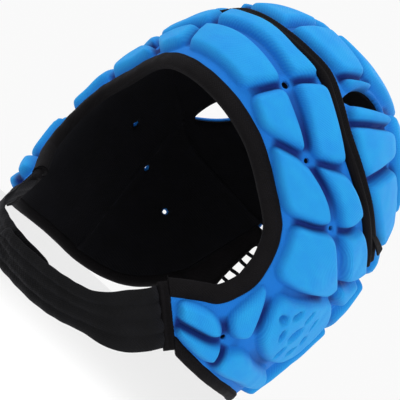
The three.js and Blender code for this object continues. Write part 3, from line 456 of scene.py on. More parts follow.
def relief(lon, lat, pads, dents=()):
    """Lift of the foam's outer face over the head form."""
    rays = ray(lon, lat)
    rise = np.zeros(len(rays))
    nearest = np.full((2, len(rays)), -FAR)
    for corners in pads:
        d = pad_distance(rays, corners) + PAD_GROW
        nearest = np.sort(np.vstack([nearest, d]), axis=0)[1:]
        t = np.clip(d / PAD_SHOULDER, 0, 1)
        swell = SWELL * (1 - np.exp(-np.maximum(d, 0) / SWELL_REACH))
        rise = np.maximum(rise, (PAD_TOP - FOAM_BASE) * (1 - (1 - t) ** PAD_EASE) + swell * (t > 0))
    for dent_lon, dent_lat, length, width, turn in dents:
        flatten, _ = chart(ray(dent_lon, dent_lat))
        flat, near = flatten(rays)
        c, s = math.cos(math.radians(turn)), math.sin(math.radians(turn))
        along = (flat[:, 0] * c + flat[:, 1] * s) / (length / 2)
        across = (flat[:, 1] * c - flat[:, 0] * s) / (width / 2)
        reach = np.hypot(along, across)
        hollow = np.clip((1.25 - reach) / 0.75, 0, 1)
        rise = np.where(near > 0.5, rise - EAR_DENT_DEPTH * hollow * hollow * (3 - 2 * hollow), rise)
    between = np.clip(1 - (np.abs(nearest[0]) + np.abs(nearest[1])) / CHANNEL_REACH, 0, 1)
    return FOAM_BASE + rise - CHANNEL_DEPTH * between, between


def near_path(points, rows, depth, reach):
    """A bell across a seam, as high as depth on the seam itself."""
    distance = np.full(len(points), 1e9)
    for p in on_head(*curved(rows, 240).T):
        distance = np.minimum(distance, np.linalg.norm(points - p, axis=1))
    return depth * np.exp(-((distance / reach) ** 2))


print("lift at the brow pad's middle", relief(np.array([0.0]), np.array([38.0]), CENTRE_PADS)[0].round(2))

# %% [markdown]
# Cloth is made of shader nodes only. Writing node trees by hand is wordy, so a small class keeps one material
# and has a short call for each kind of node that the cloths need.

# %% A short way to write materials
def linear(*tone):
    """A colour of red, green and blue up to 255 as Blender wants it."""
    shares = [v / 255 for v in tone]
    return *(v / 12.92 if v <= 0.04045 else ((v + 0.055) / 1.055) ** 2.4 for v in shares), 1


class Shader:
    """A short way to write node trees."""

    def __init__(self, name, roughness=0.8, sheen=0.5, tint=(1, 1, 1, 1), gloss=0.14):
        self.material = bpy.data.materials.new(name)
        self.material.use_nodes = True
        self.tree = self.material.node_tree
        self.surface = self.tree.nodes["Principled BSDF"]
        self.surface.inputs["Roughness"].default_value = roughness
        self.surface.inputs["Sheen Weight"].default_value = sheen
        self.surface.inputs["Sheen Roughness"].default_value = 0.45
        self.surface.inputs["Sheen Tint"].default_value = tint
        self.surface.inputs["Specular IOR Level"].default_value = gloss

    def node(self, kind, settings=(), **inputs):
        made = self.tree.nodes.new(kind)
        for key, value in dict(settings).items():
            setattr(made, key, value)
        for key, value in inputs.items():
            socket = made.inputs[int(key[1:]) if key[0] == "i" and key[1:].isdigit() else key]
            if isinstance(value, bpy.types.NodeSocket):
                self.tree.links.new(value, socket)
            else:
                socket.default_value = value
        return made

    def attribute(self, name, output):
        return self.node("ShaderNodeAttribute", {"attribute_name": name}).outputs[output]

    def turned(self, vector, degrees, scale=(1, 1, 1)):
        return self.node("ShaderNodeMapping", Vector=vector, Rotation=(0, 0, math.radians(degrees)),
                         Scale=scale).outputs["Vector"]

    def ribs(self, vector, pitch, distortion=0.0):
        return self.node("ShaderNodeTexWave", Vector=vector, Scale=0.314159 / pitch, Distortion=distortion,
                         **{"Detail": 1.0}).outputs["Fac"]

    def noise(self, vector, scale, detail=3.0):
        return self.node("ShaderNodeTexNoise", Vector=vector, Scale=scale, Detail=detail).outputs["Fac"]

    def math(self, operation, a, b=0.0):
        return self.node("ShaderNodeMath", {"operation": operation}, i0=a, i1=b).outputs[0]

    def span(self, value, low, high, to_low=0.0, to_high=1.0):
        return self.node("ShaderNodeMapRange", Value=value, **{
            "From Min": low, "From Max": high, "To Min": to_low, "To Max": to_high}).outputs["Result"]

    def mix(self, share, a, b):
        return self.node("ShaderNodeMix", {"data_type": "RGBA"}, i0=share, i6=a, i7=b).outputs[2]

    def finish(self, colour, height, strength=0.5, distance=0.3):
        bump = self.node("ShaderNodeBump", Strength=strength, Distance=distance * MM, Height=height)
        self.tree.links.new(bump.outputs["Normal"], self.surface.inputs["Normal"])
        self.tree.links.new(colour, self.surface.inputs["Base Color"])
        return self.material


print("white is", linear(255, 255, 255))

# %% [markdown]
# The knit is two crossed sets of fine diagonal ribs, laid out in the millimetres that each point stores. The
# lift tells a pad's top from the channel beside it: the tops are painted paler as if lit, and the channels
# darker as painted shade, darkest at their bottoms where two pads are close. The ribs get a painted highlight,
# most on the tops. A faint sheen gives the fibres their edge glow.

# %% The blue knit
def knit_material():
    s = Shader("blue_knit", roughness=0.8, sheen=0.1, tint=linear(120, 200, 255))
    cloth, lift = s.attribute("cloth", "Vector"), s.attribute("lift", "Fac")
    shade = s.attribute("shade", "Fac")
    first = s.ribs(s.turned(cloth, 38), 1.3, 0.5)
    second = s.ribs(s.turned(cloth, -47), 1.0, 0.5)
    weave = s.math("MULTIPLY", first, s.span(second, 0, 1, 0.5, 1))
    patches = s.noise(cloth, 0.09)
    fuzz = s.noise(cloth, 2.2, 5)
    # painted light and shade: the pad tops are painted paler as if lit, the channels darker as painted shade
    top = s.span(lift, 4.0, PAD_TOP)
    blue = s.mix(top, linear(12, 97, 176), linear(22, 131, 190))
    # painted highlight: the weave's ribs are painted paler, most on the lit pad tops, over the knit's own rib
    # pattern
    blue = s.mix(s.math("MULTIPLY", weave, s.span(top, 0, 1, 0.12, 0.3)), blue, linear(54, 148, 200))
    blue = s.mix(s.span(patches, 0.35, 0.7, 0, 0.35), blue, linear(18, 102, 186))
    blue = s.mix(s.span(fuzz, 0.45, 0.75, 0, 0.3), blue, linear(14, 80, 160))
    # painted shade at the bottoms of the channels, where two pads are close
    blue = s.mix(s.span(shade, 0.2, 0.62, 0, 0.95), blue, linear(7, 28, 96))
    height = s.math("ADD", weave, s.math("MULTIPLY", fuzz, 0.8))
    return s.finish(blue, height, 0.4, 0.25)


knit = knit_material()
print("nodes in the knit", len(knit.node_tree.nodes))

# %% [markdown]
# The lining, the bindings, the strap and the laces are black, and differ in the pitch and the turn of their
# weave, in wear and in sheen. They reflect less than the knit, because the photo shows them almost without
# highlights.

# %% The black cloths
def black_material(name, tone, pitch, turn, worn, roughness=0.78, sheen=0.3, distance=0.3):
    s = Shader(name, roughness, sheen, linear(150, 150, 165), gloss=0.05)
    cloth = s.attribute("cloth", "Vector")
    ribs = s.ribs(s.turned(cloth, turn), pitch, 0.4)
    cross = s.ribs(s.turned(cloth, turn + 90), pitch * 1.4, 0.4)
    patches = s.noise(cloth, 0.07)
    fuzz = s.noise(cloth, 1.6, 5)
    colour = s.mix(s.span(patches, 0.35, 0.7, 0, 0.6), linear(*tone), linear(*worn))
    colour = s.mix(s.span(fuzz, 0.5, 0.78, 0, 0.4), colour, linear(*(v + 16 for v in worn)))
    colour = s.mix(s.math("MULTIPLY", ribs, 0.22), colour, linear(*(v + 22 for v in tone)))
    height = s.math("ADD", s.math("MULTIPLY", ribs, cross), s.math("MULTIPLY", fuzz, 0.7))
    return s.finish(colour, height, 0.6, distance)


lining_cloth = black_material("black_lining", (7, 7, 9), 1.1, 0, (12, 12, 16), 0.88, 0.06)
binding_cloth = black_material("black_binding", (7, 6, 7), 0.9, 62, (13, 11, 13), sheen=0.03)
strap_cloth = black_material("black_strap", (8, 8, 9), 1.0, 45, (15, 15, 17), sheen=0.06)
lace_cloth = black_material("black_lace", (11, 11, 13), 0.8, 38, (24, 24, 28), distance=0.4)
print("materials", [m.name for m in bpy.data.materials])

# %% [markdown]
# The chin strap is sewn to the cheek along a short seam. Its direction, the way out from the head and the way
# forward are worked out here, because the panel, the lining and both bindings all end on that seam's plane.

# %% The strap's seam
SEAM_TOP, SEAM_FOOT = (45.5, -32.5), (57.0, -38.8)
BINDING_OUT, BINDING_IN = 4.6, 2.4
seam_top, seam_foot = on_head(*SEAM_TOP), on_head(*SEAM_FOOT)
seam_across = unit(seam_foot - seam_top)
seam_out = outward((SEAM_TOP[0] + SEAM_FOOT[0]) / 2, (SEAM_TOP[1] + SEAM_FOOT[1]) / 2)
seam_out = unit(seam_out - seam_across * (seam_out @ seam_across))
seam_forward = np.cross(seam_across, seam_out)
seam_middle = (seam_top + seam_foot) / 2 + seam_out * (BINDING_OUT - BINDING_IN) / 2
SEAM_REACH = 45
FLIP = np.array([-1.0, 1, 1])


def ended_at_seam(points, behind=0.0):
    """Points past the strap's seam plane are brought back to it, on both sides of the cap."""
    out = np.array(points)
    for side in (np.array([1.0, 1, 1]), FLIP):
        local = out * side
        past = (local - seam_middle) @ seam_forward + behind
        close = np.linalg.norm(local - seam_middle, axis=-1) < SEAM_REACH
        out = np.where((close & (past > 0))[:, None], (local - np.outer(past, seam_forward)) * side, out)
    return out


print("seam runs along", seam_across.round(2), "and the strap leaves along", seam_forward.round(2))

# %% [markdown]
# A panel is a fine grid between two courses of its table, drawn in a little or let out at its seams by a
# margin in millimetres. The crown's grid runs in rings round its top instead.

# %% Panel grids
CROWN_RADIUS = 118
TOP_HOLE = 0.006


def panel_grid(stations, rows, columns, inner_margin, outer_margins):
    """Longitudes and latitudes of a grid, and where each point lies on the cloth."""
    course = curved(stations, rows)
    margins = np.interp(np.linspace(0, len(stations) - 1, rows), np.arange(len(stations)), outer_margins)
    inner, outer = on_head(course[:, 0], course[:, 1]), on_head(course[:, 2], course[:, 3])
    length = np.linalg.norm(outer - inner, axis=1)
    v = np.linspace(0, 1, columns)[None]
    share = inner_margin / length[:, None] * (1 - v) + (1 - margins / length)[:, None] * v
    lon = course[:, :1] * (1 - share) + course[:, 2:3] * share
    lat = course[:, 1:2] * (1 - share) + course[:, 3:4] * share
    run = run_along((inner + outer) / 2)
    cloth = np.stack([run[:, None] + 0 * share, share * length[:, None], 0 * share], -1)
    return lon.ravel(), lat.ravel(), grid_faces(rows, columns), cloth.reshape(-1, 3)


def seam_lat(lon):
    seam = np.array(CROWN_SEAM, float)
    return np.interp(np.abs((np.asarray(lon) + 180) % 360 - 180), seam[:, 0], seam[:, 1])


def crown_grid(rings, columns, piping_margin, seam_margin):
    lon = np.linspace(-180, 180, columns, endpoint=False)
    margin = np.where(np.abs(lon) < CROWN_CORNER, piping_margin, seam_margin)
    foot = seam_lat(lon) + np.degrees(margin / CROWN_RADIUS)
    t = np.linspace(TOP_HOLE, 1, rings)[:, None]
    lat = 90 + (foot - 90) * t
    lon = lon + 0 * t
    reach = np.radians(90 - lat) * CROWN_RADIUS
    cloth = np.stack([reach * np.sin(np.radians(lon)), reach * np.cos(np.radians(lon)), 0 * lat], -1)
    faces = [list(face) for face in grid_faces(rings, columns, closed_columns=True)]
    return lon.ravel(), lat.ravel(), faces + [list(range(columns))], cloth.reshape(-1, 3)


print("the crown's seam lies at", seam_lat([0, 90, 180]).round(1), "degrees ahead, beside and behind")

# %% [markdown]
# Vents are round holes in the channels, and slits are almond openings in the crown. Each outline is written
# round its own place on the head, and the grid's nearest points are moved onto it.

# %% Vents and slits
VENT_RADIUS = 1.55


def round_hole(lon, lat, radius):
    _, spread = chart(ray(lon, lat))
    a = np.linspace(0, 2 * math.pi, 24, endpoint=False)
    return np.stack(spread(np.stack([np.cos(a), np.sin(a)], -1) * radius), -1)


def slit_hole(x0, y0, x1, y1, half, grow=0.0):
    """A slit's outline, an almond from one end to the other."""
    way, length = (x1 - x0, y1 - y0), math.hypot(x1 - x0, y1 - y0)
    out = []
    for side in (1, -1):
        for t in np.linspace(0, 1, 17)[:-1] if side > 0 else np.linspace(1, 0, 17)[:-1]:
            off = side * (half + grow) * math.sin(math.pi * t) ** 0.85
            x, y = x0 + way[0] * t - off * way[1] / length, y0 + way[1] * t + off * way[0] / length
            out.append(from_top((x, y)))
    return np.array(out)


def with_holes(lon, lat, faces, outlines, reach):
    """Remove the faces inside the outlines and draw the edge points onto them."""
    rays = ray(lon, lat)
    kept = [list(face) for face in faces]
    lon, lat = lon.copy(), lat.copy()
    for outline in outlines:
        dirs = ray(*np.asarray(outline).T)
        flatten, spread = chart(unit(dirs.mean(0)))
        border = flatten(dirs)[0]
        flat, ahead = flatten(rays)
        size = np.linalg.norm(border, axis=1).max() + 3 * reach
        close = (ahead > 0.5) & (np.linalg.norm(flat, axis=1) < size)
        depth = np.full(len(rays), -9.0)
        depth[close] = inside_distance(flat[close], border)
        in_hole = [len(face) < 5 and close[face[0]] and sum(depth[i] for i in face) > 0 for face in kept]
        loose = {i for face, gone in zip(kept, in_hole) if gone for i in face}
        kept = [face for face, gone in zip(kept, in_hole) if not gone]
        held = {i for face in kept if close[face[0]] for i in face} & loose
        for i in held:
            edges = np.roll(border, -1, 0) - border
            t = np.clip(((flat[i] - border) * edges).sum(1) / np.maximum((edges**2).sum(1), 1e-9), 0, 1)
            spots = border + edges * t[:, None]
            best = spots[np.argmin(np.linalg.norm(spots - flat[i], axis=1))]
            lon[i], lat[i] = spread(best)
    return lon, lat, kept


def without_spares(points, faces, *extras):
    """Drop points that no face uses."""
    used = np.unique(np.concatenate([np.asarray(face, int) for face in faces]))
    place = np.full(len(points), -1)
    place[used] = np.arange(len(used))
    return points[used], [[int(place[i]) for i in face] for face in faces], *(e[used] for e in extras)


def vent_holes(vents, flips):
    return [round_hole(flip * lon, lat, VENT_RADIUS * size) for lon, lat, size in vents for flip in flips]


def slit_holes(grow=0.0):
    return [slit_hole(*slit, grow) * [flip, 1] for slit in CROWN_SLITS for flip in (1, -1)]


vent_outlines = {"front": vent_holes(FRONT_VENTS, (1, -1)), "left": vent_holes(REAR_VENTS, (1,)),
                 "right": vent_holes(REAR_VENTS, (-1,))}
print(sum(len(v) for v in vent_outlines.values()), "vents", len(slit_holes()), "slits")

# %% [markdown]
# Now the blue panels. The foam's inner face stays on the head form and its outer face takes the relief. Round
# each vent the foam is pressed down a little, and where two panels are sewn edge to edge the cloth rolls in.
# A faint ripple over the pads keeps them from looking machined.

# %% The padded panels
BACK_SEAM = [row for row in CROWN_SEAM if row[0] >= CROWN_CORNER]
BACK_SEAM = BACK_SEAM[:-1] + [(360 - lon, lat) for lon, lat in BACK_SEAM[::-1]]
PIPING_MARGIN, SEAM_MARGIN = 2.4, -0.5
SEAM_ROLL, SEAM_ROLL_REACH = 1.7, 1.5
VENT_PRESS, VENT_PRESS_REACH = 1.2, 4.2
RIPPLE = 0.22
FOAM_INSIDE = 0.05


def foam_panel(name, lon, lat, faces, cloth, pads, dents=(), vents=(), slits=(), seams=()):
    lon, lat, faces = with_holes(lon, lat, faces, [*vents, *slits], 1.4)
    lift, shade = relief(lon, lat, pads, dents)
    flat = form(lon, lat)
    for rows in seams:
        lift = lift - near_path(flat, rows, SEAM_ROLL, SEAM_ROLL_REACH)
    for vent in vents:
        centre = on_head(*lon_lat(ray(*vent.T).mean(0)))
        distance = np.linalg.norm(flat - centre, axis=1)
        press = VENT_PRESS * np.exp(-((distance / VENT_PRESS_REACH) ** 2))
        lift = lift - press * np.maximum(lift - FOAM_BASE + 1, 0) ** 0.5
    wander = np.sin(cloth[:, 0] / 5.3 + 2 * np.sin(cloth[:, 1] / 7.1)) * np.sin(cloth[:, 1] / 6.1)
    lift = lift + RIPPLE * wander * np.clip((lift - FOAM_BASE) / 3, 0, 1)
    outside = on_head(lon, lat, lift)
    points, faces, lift, cloth, shade, inside = without_spares(
        outside, faces, lift, cloth, shade, on_head(lon, lat, FOAM_INSIDE))
    both = ended_at_seam(np.vstack([points, inside]), FOAM_INSIDE)
    piece = add_mesh(name, both, thickened(len(points), faces), knit, "blue_knit", [name],
                     lift=np.concatenate([lift, np.full(len(lift), 2.0)]), cloth=np.vstack([cloth, cloth]),
                     shade=np.concatenate([shade, shade]))


front_rows = [(-a, b, -c, d) for a, b, c, d in FRONT_STATIONS[:-1]]
front_rows = front_rows + [(0, 30, 0, 57.4)] + FRONT_STATIONS[-2::-1]
edge_margins = [0] * 5 + [0.1] + [SEAM_MARGIN] * 3 + [2.0] + [PIPING_MARGIN] * 7
front_margins = edge_margins + [PIPING_MARGIN] + edge_margins[::-1]
ear_pads = both_sides([EAR_DOME])
ear_dents = [dent for row in EAR_DENTS for dent in (row, (-row[0], *row[1:4], 180 - row[4]))]
side_seams = [SIDE_SEAM, mirrored(SIDE_SEAM)]
foam_panel("front_panel", *panel_grid(front_rows, 551, 84, CLEARANCE, front_margins), front_pads + ear_pads,
           ear_dents, vent_outlines["front"], seams=side_seams)
foam_panel("crown_panel", *crown_grid(106, 440, PIPING_MARGIN, SEAM_MARGIN), crown_pads, slits=slit_holes(),
           seams=[BACK_SEAM])
for side, flip in (("left", 1), ("right", -1)):
    lon, lat, faces, cloth = panel_grid(REAR_STATIONS, 84, 108, SEAM_MARGIN, [0.0] * len(REAR_STATIONS))
    pads = REAR_PADS if flip > 0 else [mirrored(pad) for pad in REAR_PADS]
    seam = SIDE_SEAM if flip > 0 else mirrored(SIDE_SEAM)
    foam_panel(f"rear_panel_{side}", lon * flip, lat, faces, cloth, pads, vents=vent_outlines[side],
               seams=[seam, BACK_SEAM])
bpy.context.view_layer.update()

# %% [markdown]
# The lining is one soft black skin inside the foam, sewn from panels of the same shapes. It needs no relief,
# only the ridge of its crown seam, and it is open at the same vents and slits so that light comes through.
# Behind the two cheek vents, the last of the front ones, it stays whole, so those look dark from outside.

# %% The lining
LINING_HEM, LINING_SEAM = 0.8, -0.9
LINING_VENT_GROWTH = 3.2 / VENT_RADIUS * 0.8
LINING_SLIT_GROWTH = 0.35
front_seam = [row for row in CROWN_SEAM if row[0] <= CROWN_CORNER]
PIPED = front_seam[::-1] + mirrored(front_seam[1:])


def lining_part(lon, lat, faces, cloth, outlines):
    lon, lat, faces = with_holes(lon, lat, faces, outlines, 2.4)
    flat = form(lon, lat)
    over = PIPED[::-1]
    puff = sum(near_path(flat, rows, 1.0, 1.7) for rows in (over, BACK_SEAM, *side_seams))
    soft = 0.35 * np.sin(cloth[:, 0] / 9 + 1.5 * np.sin(cloth[:, 1] / 13)) * np.sin(cloth[:, 1] / 8)
    drop = LINING + CLEARANCE + puff + 0.2 + soft * 0.5
    near, far = on_head(lon, lat, np.full(len(lon), -CLEARANCE)), on_head(lon, lat, -drop)
    near, faces, far, cloth = without_spares(near, faces, far, cloth)
    both = ended_at_seam(np.vstack([near, far]), 0.3)
    return both, facing_out(both, thickened(len(near), faces)), np.vstack([cloth, cloth])


wide_vents = {side: [LINING_VENT_GROWTH * (hole - hole.mean(0)) + hole.mean(0) for hole in holes]
              for side, holes in vent_outlines.items()}
front_hem = [-LINING_HEM] * 6 + [LINING_SEAM] * (len(front_margins) - 12) + [-LINING_HEM] * 6
rear_hem = [-LINING_HEM] * len(REAR_STATIONS)
parts = [lining_part(*panel_grid(front_rows, 241, 45, -LINING_HEM, front_hem), wide_vents["front"][:-2]),
         lining_part(*crown_grid(52, 220, LINING_SEAM, LINING_SEAM), slit_holes(LINING_SLIT_GROWTH))]
for side, flip in (("left", 1), ("right", -1)):
    lon, lat, faces, cloth = panel_grid(REAR_STATIONS, 40, 52, LINING_SEAM, rear_hem)
    parts.append(lining_part(lon * flip, lat, faces, cloth, wide_vents[side]))
points, faces, cloth = [], [], []
for part_points, part_faces, part_cloth in parts:
    start = sum(len(p) for p in points)
    points.append(part_points)
    faces += [[i + start for i in face] for face in part_faces]
    cloth.append(part_cloth)
add_mesh("lining", np.vstack(points), faces, lining_cloth, "black_lining", ["lining"],
         cloth=np.vstack(cloth))
print("lining points", sum(len(p) for p in points))

# %% [markdown]
# Bindings and piping are bands swept along an edge. Each has a closed section, written as an offset from the
# edge and a lift. The piping is a folded tape with two ridges; the bindings are soft rolls with a stitched
# groove, and they pucker a little all along.

# %% Sweeping a band
BAND_STEP = 1.1


def even(rows, step):
    """A table's curve over the head at equal steps in millimetres."""
    fine = curved(rows, 600)
    run = run_along(form(*fine.T))
    want = np.linspace(0, run[-1], int(run[-1] / step) + 1)
    return np.stack([np.interp(want, run, fine[:, 0]), np.interp(want, run, fine[:, 1])], -1), want


def swept(name, rows, section, pucker=0.0, round_ends=0.0, flip=1):
    """A band along a course. section gives offsets and lifts at a distance along the band."""
    path, run = even(rows, BAND_STEP)
    p, up = form(*path.T), outward(*path.T)
    across = unit(np.cross(up, np.gradient(p, axis=0)))
    rings, cloth = [], []
    for i, at in enumerate(run):
        offset, lift = section(at, run[-1])
        if round_ends:
            end = min(at, run[-1] - at) / round_ends
            near = math.sqrt(max(1 - (1 - min(end, 1)) ** 2, 0.02))
            lift = lift.mean() + (lift - lift.mean()) * near
            offset = offset.mean() + (offset - offset.mean()) * near
        wave = pucker * (math.sin(at / 2.9 + 2 * math.sin(at / 17)) + 0.6 * math.sin(at / 1.7 + 1))
        lift = lift + wave * (lift > lift.mean())
        beside = lon_lat(p[i] + across[i] * offset[:, None])
        rings.append(on_head(beside[0], beside[1], lift))
        turn = np.linspace(0, 1, len(offset)) * np.hypot(np.ptp(offset), np.ptp(lift)) * 2.6
        cloth.append(np.stack([0 * turn + at, turn, 0 * turn], -1))
    points = ended_at_seam(np.vstack(rings)) * [flip, 1, 1]
    add_mesh(name, points, tube_faces(len(rings), len(rings[0])), binding_cloth, "black_binding", [name],
             cloth=np.vstack(cloth))


print("bands are swept in steps of", BAND_STEP, "mm")

# %% [markdown]
# The roll's section is a rounded box with a crease along the stitching, and the crease comes and goes with
# each stitch. The piping's top has two ridges, where the folded tape is thickest.

# %% Bindings and piping
PIPING_HALF_WIDTH, PIPING_INSIDE, PIPING_EDGE, PIPING_RISE = 5.0, 1.1, 3.4, 4.2
STITCH, PIPING_STITCH = 3, 2.4


def roll_section(first, last, low, high, groove, power=2.6, widening=lambda left: 0.0):
    """A soft roll with a stitched groove. It may widen with the length that is left to its end."""
    _, x, y = rounded(40, 2 / power, 2 / power)

    def section(at, length):
        start = first - widening(length - at)
        offset = (start + last) / 2 + x * (last - start) / 2
        stitch = 0.55 + 0.45 * math.cos(at * 2 * math.pi / STITCH)
        crease = 0.7 * stitch * np.exp(-(((offset - groove) / 0.7) ** 2)) * (y > 0)
        return offset, (low + high) / 2 + y * (high - low) / 2 - crease

    return section


def piping_section(at, length):
    _, x, y = rounded(36, 0.8, 0.6)
    ridges = 0.9 * np.abs(np.sin(math.pi * x)) + 0.1
    lift = np.where(y > 0, PIPING_EDGE + PIPING_RISE * np.abs(y) * (0.5 + 0.5 * ridges), PIPING_INSIDE)
    stitches = 0.12 * math.sin(at * 2 * math.pi / PIPING_STITCH)
    return PIPING_HALF_WIDTH * x, lift + stitches * (y > 0)


FACE_EDGE = [(a, b) for a, b, _, _ in FRONT_STATIONS]
FACE_EDGE = [(40.5, -35.5)] + FACE_EDGE + mirrored(FACE_EDGE[-2::-1]) + [(-40.5, -35.5)]
swept("crown_piping", PIPED, piping_section, round_ends=3.0)
swept("face_binding", FACE_EDGE, roll_section(-0.9, 9.9, -BINDING_IN, BINDING_OUT + 0.6, 1.6), pucker=0.12)
print("piping and face binding follow", len(PIPED), "and", len(FACE_EDGE), "points")

# %% [markdown]
# Up the back opening the binding broadens into a placket that carries the lace. The opening is narrow at its
# top and wide at its foot, and the placket takes up most of its width, so that only slivers of light show.

# %% The placket
LACING_LENGTH, PLACKET_START = 58.0, 12
TOP_HALF_GAP, GAP_GROWTH, LEAST_HALF_GAP = 3.4, 17.6, 2.2
PLACKET_SHARE, TOP_CLOSING = 0.92, 1.9


def placket(left):
    """How much the binding broadens, by the length that is left to the top of the opening."""
    half_gap = TOP_HALF_GAP + GAP_GROWTH * min(max(left / LACING_LENGTH, 0), 1)
    closing = TOP_CLOSING * (1 - smooth(left, 5, 12))
    begun = 1 - smooth(left, LACING_LENGTH, LACING_LENGTH + PLACKET_START)
    return PLACKET_SHARE * (half_gap - LEAST_HALF_GAP) * begun + closing


for side, flip in (("left", 1), ("right", -1)):
    section = roll_section(-7.3, 0.9, -BINDING_IN, BINDING_OUT, -1.6, widening=placket)
    swept(f"neck_binding_{side}", NECK_EDGE, section, pucker=0.15, round_ends=2.0, flip=flip)
print("placket", [round(placket(left), 1) for left in (0, 20, 40, 60)], "mm wider from its top down")

# %% [markdown]
# The tape's loose end, folded flat, sticks out beside the lower end of the piping. It is a small tapering
# strip of its own, and bends away from the foam a little.

# %% The loose end of the piping
TAIL_START, TAIL_END = on_head(100, 30.4, 5.5), on_head(112.5, 27.6, 9.8)
TAIL_STEPS, TAIL_HALF_WIDTH, TAIL_SPREAD, TAIL_HALF_THICKNESS, TAIL_BEND = 30, 1.6, 1.4, 0.9, 0.8


def piping_tail():
    along = unit(TAIL_END - TAIL_START)
    wide = unit(np.cross(along, outward(108, 29)))
    thick = np.cross(wide, along)
    a, x, y = rounded(32, 0.6, 0.8)
    rings, cloth = [], []
    for t in np.linspace(0, 1, TAIL_STEPS):
        half = (TAIL_HALF_WIDTH + TAIL_SPREAD * t) * (1 if t < 0.97 else 0.85)
        middle = TAIL_START + (TAIL_END - TAIL_START) * t + thick * TAIL_BEND * math.sin(math.pi * t)
        height = y * TAIL_HALF_THICKNESS + 0.2 * np.cos(2 * a)
        rings.append(middle + np.outer(x * half, wide) + np.outer(height, thick))
        cloth.append(np.stack([0 * a + t * 20, a * 2, 0 * a], -1))
    for side, flip in (("left", 1), ("right", -1)):
        add_mesh(f"piping_tail_{side}", np.vstack(rings) * [flip, 1, 1], tube_faces(TAIL_STEPS, len(a)),
                 binding_cloth, "black_binding", cloth=np.vstack(cloth))


piping_tail()
print("trims done")

# %% [markdown]
# The chin strap leaves both cheeks at a two-ridged root band and meets itself under the chin: the long half
# lies over the tab, and they close where they overlap. It is quilted along its length, so rows of stitching
# press grooves into it, and soft creases run across it where it bends.

# %% The chin strap
STRAP_WIDTH, STRAP_ROOT_WIDTH, STRAP_THICKNESS, TAB_THICKNESS = 28, 36, 5, 3.2
STRAP_DROP, STRAP_FALL, STRAP_POWER = 48, 40, 2.3
STRAP_END_TURN, TAB_END_TURN, TAB_NARROWER = 112, 78, 2
ROOT_BAND_WIDTH, ROOT_BAND_THICKNESS, ROOT_BAND_HEIGHT = 6, 3.6, 40
STRAP_START = ROOT_BAND_WIDTH + 2 * CLEARANCE
STRAP_STITCH, LANE_STITCH = 2.6, 3.2


strap_start = seam_middle + seam_forward * STRAP_START
fall = np.array([0, -math.cos(math.radians(STRAP_FALL)), -math.sin(math.radians(STRAP_FALL))])


def strap_place(turn):
    c, s = math.cos(math.radians(turn)), math.sin(math.radians(turn))
    reach = math.copysign(abs(c) ** (2 / STRAP_POWER), c)
    return strap_start * [reach, 1, 1] + fall * STRAP_DROP * max(0, s) ** (2 / STRAP_POWER)


def strap_station(turn, inward):
    """Middle of the strap, its way across and its way out, at a turn from 0 at the left root to 180."""
    centre = strap_place(turn)
    along = unit(strap_place(min(180, turn + 1)) - strap_place(max(0, turn - 1)))
    near = smooth(abs(math.cos(math.radians(turn))), 0.55, 1)
    root = seam_across if turn < 90 else seam_across * FLIP
    chin = np.array([0, math.sin(math.radians(STRAP_FALL)), -math.cos(math.radians(STRAP_FALL))])
    across = chin + (root - chin) * near
    across = unit(across - along * (across @ along))
    out = unit(np.cross(across, along))
    out = out * (1 if out[:2] @ centre[:2] > 0 else -1)
    return centre - out * inward, across, out


def strap_width(turn):
    near = smooth(abs(math.cos(math.radians(turn))), 0.6, 1)
    return STRAP_WIDTH + (STRAP_ROOT_WIDTH - STRAP_WIDTH) * near


def strap_piece(name, turns, thickness, inward, narrower, lanes):
    stations, widths = [], []
    for turn in turns:
        stations.append(strap_station(turn, inward(turn)))
        widths.append(strap_width(turn) - narrower)
    run = run_along(np.array([s[0] for s in stations]))
    a, x, y = rounded(96, 0.62, 0.72)
    points, cloth = [], []
    for (centre, across, out), width, at in zip(stations, widths, run):
        left = (run[-1] - at) / (0.42 * width)
        width = width * math.sqrt(max(1 - (1 - min(left, 1)) ** 3, 0.05))
        side = x * width / 2
        ribs = np.abs(np.sin(math.pi * (x + 1) * lanes / 2)) ** 0.6
        ribs = ribs * (0.94 + 0.06 * math.cos(at * 2 * math.pi / LANE_STITCH))
        crease = 0.5 * np.sin(at / 5.7 + 1.8 * np.sin(x * 2.1) + 2.4 * math.sin(at / 23))
        crease = crease + 0.16 * np.sin(at / 1.9 + 3 * x + 1.3 * math.sin(at / 9))
        puff = 1 - 0.3 * (np.abs(x) ** 3)
        height = y * thickness / 2 * puff * (0.55 + 0.6 * ribs) + crease
        points.append(centre + side[:, None] * across + height[:, None] * out)
        cloth.append(np.stack([0 * a + at, side + np.sign(y) * 40, 0 * a], -1))
    piece = add_mesh(name, np.vstack(points), tube_faces(len(points), len(a)), strap_cloth, "black_strap",
                     [name], cloth=np.vstack(cloth))


under_by = (STRAP_THICKNESS + TAB_THICKNESS) / 2 + 0.6
strap_turns = np.degrees(np.arccos(np.linspace(1, math.cos(math.radians(STRAP_END_TURN)), 210)))
strap_piece("chin_strap", strap_turns, STRAP_THICKNESS, lambda turn: 0.0, 0, 4)
tab_turns = 180 - np.degrees(np.arccos(np.linspace(1, math.cos(math.radians(180 - TAB_END_TURN)), 170)))
strap_piece("chin_strap_tab", tab_turns, TAB_THICKNESS,
            lambda turn: under_by * smooth(180 - turn, 0, 180 - STRAP_END_TURN - 6), TAB_NARROWER, 3)


print("strap hangs", STRAP_DROP, "mm from its roots")

# %% [markdown]
# At each cheek a short band is sewn over the strap's end. It has two ridges, is a little wavy from its
# stitches, and reaches over the panel's edge so that the joint looks sewn.

# %% The strap's roots
ROOT_BAND_SHIFT, ROOT_BAND_REACH = 2.7, 4.0


